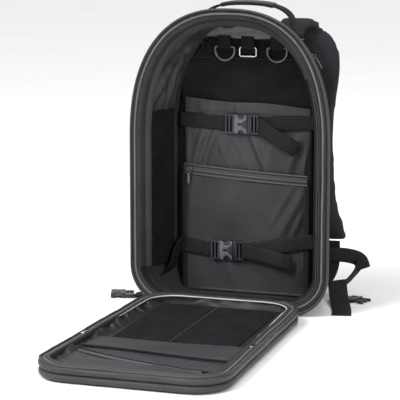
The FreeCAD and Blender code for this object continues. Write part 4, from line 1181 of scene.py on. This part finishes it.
def make_lid_edge():
    """The lid's padded edge with its pinched crease, binding and zipper."""

    def place(u, v):
        s, z = around(LID_PROFILE, u)
        across, up = lid_drift(v, s)
        high = ease(z, 4, 24)
        pinch = 0.9 * noise.noise(Vector((v * 60, z * 0.15, 6))) * ease(12 - s, 0, 8)
        point = lid_edge(v, (s + across * high + pinch) * MM, max(z + up * high, 1.6) * MM)
        pivot = Vector((0, LID_NEAR - 14 * MM, 14 * MM))
        away = Vector((0, point.y, point.z)) - pivot
        if point.y > pivot.y and away.length > 14.2 * MM:
            away = away.normalized() * 14.2 * MM
            point.y, point.z = pivot.y + away.y, pivot.z + away.z
        return point

    edge = skin("lid_edge_roll", place, 87, 420, (90 * MM, LID_LOOP.length), loop_across=True,
        loop_along=True)
    finish(edge, "Edge binding", "lid", ["lid_gusset", "lid_rim"])

    def line(v):
        across, up = lid_drift(v, 8)
        inner = lid_edge(v, (8 + across) * MM, LID_TOP - (2.6 - up) * MM)
        outer = lid_edge(v, (7 + across) * MM, LID_TOP - (2.6 - up) * MM)
        return inner, (outer - inner).normalized(), Vector((0, 0, 1))

    teeth = coil("lid_coil", line, LID_LOOP.length, 1.3 * MM)
    finish(teeth, "Zipper coil", "lid", ["lid_zipper"])
    for name, inset in (("outer", 4.3), ("inner", 12.0)):
        row = []
        for i in range(601):
            across, up = lid_drift(i / 600, inset)
            row.append(lid_edge(i / 600, (inset + across) * MM, LID_TOP - (1.6 - up) * MM))
        finish(stitches("lid_stitches_" + name, row, (0, 0, 1)), "Thread", "lid")
    # Painted highlight: a thin pale roll along the hinge end, tapered at its ends, stands in for the glint on
    # the zipper coil there.
    def piping(u, v):
        turn = mix(-0.12, 0.32, v)
        angle = 2 * math.pi * u
        across, up = lid_drift(turn, 16)
        size = (0.4 + 0.75 * math.sin(math.pi * v) ** 0.4) * MM
        return lid_edge(turn, (17.8 + across) * MM + math.cos(angle) * size,
            LID_TOP - (2.6 - up) * MM + math.sin(angle) * size)

    pale = skin("lid_painted_highlight_piping", piping, 8, 200, (7 * MM, 0.4), loop_across=True, caps=True)
    finish(pale, "Piping painted highlight", "lid")
    for side in ("left", "right"):
        node = "lid_slider_" + side
        eased("lid_slider_body_" + side, [node], 0.5 * MM, node, "Polished steel")
    outer = merged_copy("lid_outer", ["lid_panel"])
    swell(outer, 5 * MM, 0.4 * MM)
    finish(outer, "Outer cloth", "lid", ["lid_panel"])


def lid_half(y):
    """Half width of the lid's inside at y."""
    share = (LID_NEAR - y) / (LID_NEAR - LID_FAR)
    return mix(LID_HINGE_HALF, LID_END_HALF, share) - 13 * MM


def lid_inside_z(x, y):
    """Height of the lid's lining: flat in the middle, crumpled and rising at the edges."""
    inside = lid_half(y) - abs(x)
    edge = 1 - ease(inside, 0, 26 * MM)
    near = 1 - ease(LID_NEAR - 16 * MM - y, 0, 22 * MM)
    far = 1 - ease(y - LID_FAR - 16 * MM, 0, 20 * MM)
    border = max(edge, near, far)
    crumple = 7.0 * ridges(y * 30 + x * 9, x * 10, 2.6, 2.0) + 2.5 * ridges(y * 70, x * 24, 2.0, 8.0)
    return LID_FLOOR + (border * 4.0 + border * crumple + 0.8 * noise.noise(Vector((x * 20, y * 20, 0)))) * MM


def make_lid_inside():
    """Everything sewn to the lid's inside."""
    width = 2 * LID_END_HALF
    length = LID_NEAR - LID_FAR

    def place(u, v):
        share = mix(0.0, 0.5, v)
        edge = lid_edge(0.25 + share, 12 * MM, 0)
        other = lid_edge(0.25 - share, 12 * MM, 0)
        point = edge.lerp(other, u)
        return Vector((point.x, point.y, lid_inside_z(point.x, point.y)))

    lining = skin("lid_lining", place, 110, 190, (width, length))
    thicken(lining, 0.8 * MM)
    finish(lining, "Lid lining", "lid", ["lid_foam"])


def lid_piece(name, near, far, half, lift, material, stands_for, cells=(60, 40), size=None):
    """A flat piece on the lid's lining: near(u), far(u) give its edges, half(y) its half width."""

    def place(u, v):
        y = mix(near(u), far(u), v)
        x = (2 * u - 1) * half(y)
        border = min(u * 12, (1 - u) * 12, v * 6, (1 - v) * 6, 1.0)
        return Vector((x, y, LID_FLOOR + lift(x, y) * MM * (0.35 + 0.65 * border)))

    wide = 2 * half(mix(near(0.5), far(0.5), 0.5))
    tall = abs(near(0.5) - far(0.5))
    piece = skin(name, place, cells[0], cells[1], (wide, tall))
    thicken(piece, 1.0 * MM)
    finish(piece, material, "lid", stands_for)
    return piece


def make_lid_panels():
    """The loop pile, band, net strip and zipped pocket inside the lid."""
    loop_low, loop_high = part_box("lid_loop_panel")
    seam_x = -5 * MM
    half = loop_high.x

    def pile(x, y):
        seam = math.exp(-((x - seam_x - 0.01 * (y + 0.2)) / (2.2 * MM)) ** 2)
        return 3.4 + 0.8 * noise.noise(Vector((x * 14, y * 14, 3))) - 1.6 * seam

    lid_piece("lid_loop_pile", lambda u: loop_high.y, lambda u: loop_low.y - 4 * MM, lambda y: half + 3 * MM,
        pile,
              "Loop pile", ["lid_loop_panel"], (90, 90))
    row = []
    for i in range(60):
        y = mix(loop_high.y - 4 * MM, loop_low.y, i / 59)
        x = seam_x + 0.01 * (y + 0.2)
        row.append(Vector((x, y, LID_FLOOR + (pile(x, y) + 0.8) * MM)))
    finish(stitches("lid_seam_stitches", row, (0, 0, 1), 4.2 * MM, 2.4 * MM, 0.6 * MM), "Thread",
        "lid")

    band_low, band_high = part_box("lid_smooth_band")
    slant = 22 * MM

    def band_end(u):
        return band_low.y - 2 * MM - slant * ease(u, 0.1, 0.95)

    lid_piece("lid_band", lambda u: band_high.y + 1 * MM - 3 * MM * math.sin(math.pi * u), band_end,
              lambda y: lid_half(y) - 3 * MM,
              lambda x, y: 5.8 + 2.4 * ridges(x * 6 + y * 9, y * 5, 2, 6.0), "Band cloth",
              ["lid_smooth_band"], (100, 40))

    arc = next(j for j in frame["joints"] if j["name"] == "lid_pocket_slider_travel")["pos_m"]
    slider_low, slider_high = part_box("lid_pocket_slider")
    zip_low, zip_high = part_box("lid_pocket_zipper")
    right_x = slider_high.x - 5 * MM
    radius = math.hypot(right_x - arc[0], (slider_low.y + slider_high.y) / 2 - arc[1])

    def zipper_y(x):
        return arc[1] - math.sqrt(max(radius ** 2 - (x - arc[0]) ** 2, 0.0))

    def at_x(u, y_guess):
        return (2 * u - 1) * (lid_half(y_guess) - 6 * MM)

    def on_zipper(u):
        return zipper_y(at_x(u, -0.46))

    lid_piece("lid_net_strip", lambda u: band_end(u) + 2 * MM, lambda u: on_zipper(u) + 2 * MM,
              lambda y: lid_half(y) - 5 * MM, lambda x, y: 3.2 + 1.2 * ridges(x * 22, y * 18, 2, 4.0),
              "Pad net",
              ["lid_mesh_strip"], (90, 30))
    for name, line_y, lift in (("lid_band_hem", band_end, 7.0),
            ("lid_net_hem", lambda u: on_zipper(u) + 8 * MM, 5.0)):
        points = []
        for k in range(13):
            u = mix(0.02, 0.98, k / 12)
            y = line_y(u) + 1.5 * MM
            points.append(Vector((at_x(u, y), y, LID_FLOOR + lift * MM)))
        hem = ribbon(name, points, [(0, 1, 0.15)] * 13, 4.5 * MM, 1.2 * MM, 3 * MM)
        finish(hem, "Back felt", "lid")
    far = LID_FAR + 20 * MM
    lid_piece("lid_pocket_face", lambda u: on_zipper(u) - 1 * MM, lambda u: far,
        lambda y: lid_half(y) - 7 * MM,
              lambda x, y: 4.2 + 5.4 * ridges(x * 9 + y * 14, y * 14, 3, 11.0), "Pocket twill",
              ["lid_pocket"], (100, 44))

    def tape(u, v):
        a, b = around([(-5.5, 0.0), (-5.0, 1.2), (-3.2, 1.9), (-2.0, 1.0), (2.0, 1.0), (3.2, 1.9), (5.0, 1.2),
            (5.5, 0), (0, -0.6)], u)
        x = mix(zip_low.x + 4 * MM, right_x + 8 * MM, v)
        return Vector((x, zipper_y(x) + a * MM, LID_FLOOR + (5.2 + b) * MM))

    length = right_x - zip_low.x
    zipper = skin("lid_pocket_tape", tape, 36, 110, (20 * MM, length), loop_across=True, caps=True)
    finish(zipper, "Zipper tape", "lid", ["lid_pocket_zipper"])

    def line(v):
        x = mix(zip_low.x + 5 * MM, right_x + 6 * MM, v)
        return Vector((x, zipper_y(x), LID_FLOOR + 6.4 * MM)), Vector((0, 1, 0)), Vector((0, 0, 1))

    teeth = coil("lid_pocket_coil", line, length, 0.8 * MM, 1.6 * MM, closed=False)
    finish(teeth, "Zipper coil", "lid")
    eased("lid_pocket_slider_body", ["lid_pocket_slider"], 0.4 * MM, "lid_pocket_slider", "Polished steel")


def make_lid_rows():
    """The rows of webbing on the lid's outside."""
    for i in range(6):
        near = LID_NEAR - (90 + i * 62.5) * MM
        points = [Vector((x, near - 12.5 * MM, 0.9 * MM)) for x in (-0.1, -0.05, 0, 0.05, 0.1)]
        row = ribbon(f"lid_row_{i + 1}", points, [(0, 1, 0)] * 5, 25 * MM, 1.3 * MM)
        finish(row, "Strap webbing", "lid", ["lid_webbing_rows"] if i == 0 else ())


def make_hinge():
    """The strip of cloth between the bag's lower front edge and the lid."""
    low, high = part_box("hinge_fabric")

    def place(u, v):
        x = mix(low.x - 20 * MM, high.x + 20 * MM, u)
        y = mix(FRONT_Y + 4 * MM, LID_NEAR - 8 * MM, v)
        return Vector((x, y, 0.8 * MM + 0.5 * MM * abs(noise.noise(Vector((u * 9, v * 3, 0))))))

    wide = high.x - low.x + 40 * MM
    long = FRONT_Y + 4 * MM - LID_NEAR + 8 * MM
    strip = skin("hinge_strip", place, 60, 16, (wide, long))
    thicken(strip, 1.0 * MM)
    finish(strip, "Outer cloth", None, ["hinge_fabric"])
    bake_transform(strip)


# ---- outside ----

def make_outside():
    """Webbing rows on the sides, the rear compartment's zipper and the carrying handle."""
    first = True
    low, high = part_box("side_webbing_rows")
    for side, name in ((-1, "left"), (1, "right")):
        for i in range(7):
            bottom = low.z + i * 50 * MM
            middle = bottom + 12.5 * MM
            points = []
            for k in range(9):
                y = mix(low.y, high.y, k / 8)
                proud = 1.9 + 0.9 * math.sin(2 * math.pi * k / 4) ** 2
                points.append(Vector((side * (side_x(y, middle) + proud * MM), y, middle)))
            lean = [(side * (side_x(p.y, middle + 5 * MM) - side_x(p.y, middle - 5 * MM)), 0,
                10 * MM) for p in points]
            row = ribbon(f"side_row_{name}_{i + 1}", points, lean, 25 * MM, 1.6 * MM)
            finish(row, "Strap webbing", "bag", ["side_webbing_rows"] if first else ())
            first = False

    zip_low, zip_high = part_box("gusset_zipper")
    y = (FRONT_Y + 22 * MM + 4 * MM) + 4 * MM
    start, end = 0.5 * (PARTS[1] + 0.13), 1 - 0.5 * (PARTS[1] + 0.13)

    def tape(u, v):
        a, b = around([(-5.0, 0.2), (-4.4, 1.6), (-3.0, 2.0), (-1.8, 1.0), (1.8, 1.0), (3.0, 2.0), (4.4, 1.6),
            (5.0, 0.2),
                       (0, -0.8)], u)
        return mouth(mix(start, end, v), y + a * MM, -(b + 0.8) * MM)

    length = MOUTH_LOOP.length * (end - start)
    zipper = skin("gusset_tape", tape, 36, 240, (20 * MM, length), loop_across=True, caps=True)
    finish(zipper, "Zipper tape", "bag")

    def line(v):
        turn = mix(start, end, v)
        point = mouth(turn, y, -2.2 * MM)
        along = (mouth(turn + 0.003, y, 0) - mouth(turn - 0.003, y, 0)).normalized()
        return point, Vector((0, 1, 0)), Vector((along.z, 0, -along.x))

    teeth = coil("gusset_coil", line, length, 0.8 * MM, 1.8 * MM, closed=False)
    finish(teeth, "Zipper coil", "bag")
    node = frame["nodes"]["gusset_zipper"]
    node.data.materials.clear()
    node.data.materials.append(bpy.data.materials["Slider paint"])
    eased("gusset_pull_tab", ["gusset_pull"], 0.4 * MM, "gusset_pull", "Slider paint")


def make_handle():
    """The carrying handle: doubled webbing, rolled together in the middle."""
    low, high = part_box("carry_handle")
    middle = (low.y + high.y) / 2
    points = []
    steps = 12
    for i in range(steps + 1):
        angle = math.pi * i / steps
        across = math.copysign(abs(math.cos(angle)) ** 0.8, math.cos(angle))
        points.append(Vector((-(high.x - 2 * MM) * across, middle,
            low.z + (high.z - low.z - 2 * MM) * math.sin(angle) ** 0.8)))
    strap = ribbon("handle_webbing", points, [(0, 1, 0)] * (steps + 1), high.y - low.y, 3.6 * MM, 3 * MM)
    finish(strap, "Strap webbing", "carry_handle", ["carry_handle"])
    grip = []
    for i in range(4, steps - 3):
        grip.append(points[i] + Vector((0, 0, 0)))
    sleeve = ribbon("handle_grip", grip, [(0, 1, 0)] * len(grip), (high.y - low.y) * 0.94, 7.0 * MM, 3 * MM)
    finish(sleeve, "Edge binding", "carry_handle")
    for side, name in ((-1, "left"), (1, "right")):
        x = side * (high.x - 2 * MM)
        foot = [Vector((x, middle, low.z - 4.6 * MM)), Vector((x, middle, low.z - 14 * MM)),
            Vector((x, middle, 0.428))]
        tab = ribbon("handle_tab_" + name, foot, [(0, 1, 0)] * 3, 16 * MM, 3.6 * MM, 3 * MM)
        finish(tab, "Strap webbing", "bag")


def make_shoulder_straps():
    """The two padded shoulder straps."""
    for side in ("left", "right"):
        node = "shoulder_strap_" + side
        strap = merged_copy(side + "_shoulder_strap", [node])
        swell(strap, 5 * MM, 5 * MM)
        finish(strap, "Outer cloth", "bag", [node])


def make_lower_webbing():
    """The straps below the shoulder straps, and the waist strap that lies on the floor."""
    up = (0, 0, 1)
    runs = {
        "waist_band_right": ([(0.084, 0.087, 0.074), (0.110, 0.088, 0.075), (0.140, 0.092, 0.075),
        (0.166, 0.098, 0.073),
                              (0.184, 0.104, 0.066), (0.190, 0.106, 0.050)],
                             [up, up, up, (0.1, 0, 1), (0.45, 0.1, 0.8), (0.8, 0.3, 0.45)], 25),
        "waist_fall_right": ([(0.186, 0.106, 0.064), (0.180, 0.104, 0.048), (0.166, 0.100, 0.030),
        (0.150, 0.094, 0.013),
                              (0.148, 0.089, 0.005), (0.157, 0.084, 0.0028), (0.168, 0.0797, 0.003)],
                             [(0.3, 0.95, 0)] * 7, 25),
        "waist_tail_right": ([(0.152, 0.074, 0.034), (0.156, 0.064, 0.024), (0.162, 0.048, 0.012),
        (0.170, 0.028, 0.005),
                              (0.178, 0.004, 0.0022), (0.184, -0.018, 0.0016), (0.188, -0.037, 0.0016)],
                             [(0.95, 0.3, 0.2), (0.95, 0.3, 0.1)] + [(0.95, 0.3, 0)] * 5, 32),
        "waist_left": ([(-0.112, 0.090, 0.030), (-0.138, 0.082, 0.016), (-0.156, 0.058, 0.008),
        (-0.163, 0.028, 0.005),
                        (-0.166, 0.010, 0.0042), (-0.1776, -0.0068, 0.0034), (-0.1838, -0.0089, 0.0032)],
                       [(0.3, 0.95, 0), (0.75, 0.65, 0), (0.94, -0.35, 0), (1, -0.1, 0), (0.9, -0.4, 0),
                        (0.31, -0.95, 0), (0.31, -0.95, 0)], 25),
        "lock_webbing_left": ([(-0.137, 0.1018, 0.097), (-0.137, 0.1018, 0.074), (-0.136, 0.1005, 0.054),
        (-0.129, 0.095, 0.034),
                               (-0.112, 0.079, 0.016), (-0.096, 0.068, 0.013)], [(1, 0, 0)] * 6, 25),
        "lock_webbing_right": ([(0.137, 0.1018, 0.097), (0.137, 0.1018, 0.074), (0.136, 0.1005, 0.054),
        (0.129, 0.095, 0.034),
                                (0.112, 0.079, 0.016), (0.096, 0.068, 0.013)], [(1, 0, 0)] * 6, 25),
    }
    for i, (name, (points, lean, width)) in enumerate(runs.items()):
        piece = ribbon(name, [Vector(p) for p in points], lean, width * MM)
        finish(piece, "Strap webbing", "bag", ["lower_webbing"] if i == 0 else ())


# ---- stage ----

def make_stage():
    """A pale floor, soft light from above and the left, and the camera."""
    scene = bpy.context.scene
    scene.view_settings.view_transform = "Standard"
    bm = bmesh.new()
    bmesh.ops.create_grid(bm, x_segments=8, y_segments=8, size=14)
    floor = obj_from(bm, "floor")
    paper = bpy.data.materials.new("Pale paper")
    paper.use_nodes = True
    tree = paper.node_tree
    surface = tree.nodes["Principled BSDF"]
    source = make_node(tree, "ShaderNodeTexCoord").outputs["Object"]
    ramp = make_node(tree, "ShaderNodeMapRange")
    tree.links.new(noise_of(tree, source, 3.0), ramp.inputs["Value"])
    ramp.inputs["To Min"].default_value = 0.80
    ramp.inputs["To Max"].default_value = 0.84
    white = make_node(tree, "ShaderNodeCombineColor")
    for socket in white.inputs:
        tree.links.new(ramp.outputs[0], socket)
    tree.links.new(white.outputs[0], surface.inputs["Base Color"])
    surface.inputs["Roughness"].default_value = 0.9
    surface.inputs["Specular IOR Level"].default_value = 0.1
    floor.data.materials.append(paper)

    world = bpy.data.worlds.new("studio")
    scene.world = world
    world.use_nodes = True
    world.node_tree.nodes["Background"].inputs[0].default_value = (0.97, 0.98, 1.0, 1)
    world.node_tree.nodes["Background"].inputs[1].default_value = 0.62
    for name, place, aim, size, power in (
            ("key", (-1.3, -2.4, 2.3), (0, 0, 0.2), 0.9, 55),
            ("top", (0.3, -0.2, 3.2), (0, 0, 0.2), 1.6, 34),
            ("right", (2.0, -2.2, 1.5), (0, 0, 0.25), 0.7, 42)):
        light = bpy.data.lights.new(name, "AREA")
        light.size = size
        light.energy = power
        lamp = bpy.data.objects.new(name, light)
        lamp.location = place
        lamp.rotation_euler = (Vector(aim) - Vector(place)).to_track_quat("-Z", "Y").to_euler()
        scene.collection.objects.link(lamp)

    daylight = bpy.data.lights.new("daylight", "SUN")
    daylight.energy = 1.7
    daylight.angle = math.radians(28)
    sky = bpy.data.objects.new("daylight", daylight)
    sky.rotation_euler = Vector((-0.75, -0.9, 1.5)).to_track_quat("Z", "Y").to_euler()
    scene.collection.objects.link(sky)

    eye = bpy.data.cameras.new("camera")
    eye.lens = 170.5
    eye.sensor_width = 36
    camera = bpy.data.objects.new("camera", eye)
    camera.location = (0.925, -2.994, 0.747)
    aim = Vector((-0.0482, -0.0645, 0.1857))
    camera.rotation_euler = (aim - camera.location).to_track_quat("-Z", "Y").to_euler()
    scene.collection.objects.link(camera)
    scene.camera = camera


# ---- add-on ----

MAKERS = (
    ("finishes", "Finishes", "Mix every cloth, plastic and metal",
    lambda: make_finishes(bpy.context.scene.backpack_finish)),
    ("rim", "Opening rim", "Sew the binding and zipper round the mouth", make_rim),
    ("shell", "Shell", "Sew the gusset that runs round the bag", make_shell),
    ("back", "Back", "Fill the back panel and its two pads", make_back),
    ("lining", "Lining", "Hang the lining and the pieces on its walls", make_lining),
    ("back_inside", "Back inside", "Sew the loop field, the dark panel and the top flap", make_back_inside),
    ("sleeve", "Sleeve", "Hang the sleeve pocket", make_sleeve),
    ("net_pocket", "Net pocket", "Hang the net pocket with its zipper", make_net_pocket),
    ("rings", "Rings", "Hang the rings from their loops", make_rings),
    ("compression", "Compression straps", "Lay the two inner straps", make_compression_straps),
    ("buckles", "Buckles", "Mould the buckles and ladder locks", make_buckles),
    ("lid_edge", "Lid edge", "Sew the lid's edge and zipper", make_lid_edge),
    ("lid_inside", "Lid lining", "Lay the lid's lining", make_lid_inside),
    ("lid_panels", "Lid panels", "Sew the lid's loop panel, band and pocket", make_lid_panels),
    ("lid_rows", "Lid rows", "Sew the webbing on the lid's outside", make_lid_rows),
    ("hinge", "Hinge strip", "Join the lid to the bag", make_hinge),
    ("outside", "Outside", "Sew the side webbing and the rear zipper", make_outside),
    ("handle", "Handle", "Sew the carrying handle", make_handle),
    ("shoulder", "Shoulder straps", "Fill the two shoulder straps", make_shoulder_straps),
    ("lower_webbing", "Lower webbing", "Lay the waist strap and the adjusters", make_lower_webbing),
    ("stage", "Stage", "Set the floor, the lights and the camera", make_stage),
)


def make_operator(key, label, words, maker):
    """An operator class that makes one piece or group."""
    def execute(self, context):
        maker()
        return {"FINISHED"}

    return type("BACKPACK_OT_" + key, (bpy.types.Operator,), {
        "__doc__": words, "bl_idname": "backpack." + key, "bl_label": label, "execute": execute})


OPERATORS = [make_operator(*row) for row in MAKERS]


class BACKPACK_PT_panel(bpy.types.Panel):
    """Lists the pieces of the backpack"""
    bl_label = "Backpack"
    bl_space_type = "VIEW_3D"
    bl_region_type = "UI"
    bl_category = "Backpack"

    def draw(self, context):
        for row in MAKERS:
            self.layout.operator("backpack." + row[0])
        for name in BackpackFinish.__annotations__:
            self.layout.prop(context.scene.backpack_finish, name)


CLASSES = [BackpackFinish, *OPERATORS, BACKPACK_PT_panel]


def register():
    """Register the classes and the settings."""
    for made in CLASSES:
        bpy.utils.register_class(made)
    bpy.types.Scene.backpack_finish = bpy.props.PointerProperty(type=BackpackFinish)


def unregister():
    """Remove the settings and the classes."""
    del bpy.types.Scene.backpack_finish
    for made in reversed(CLASSES):
        bpy.utils.unregister_class(made)


def main():
    """Make every piece and write the sizes."""
    register()
    for row in MAKERS:
        getattr(bpy.ops.backpack, row[0])()


if __name__ == "__main__":
    main()
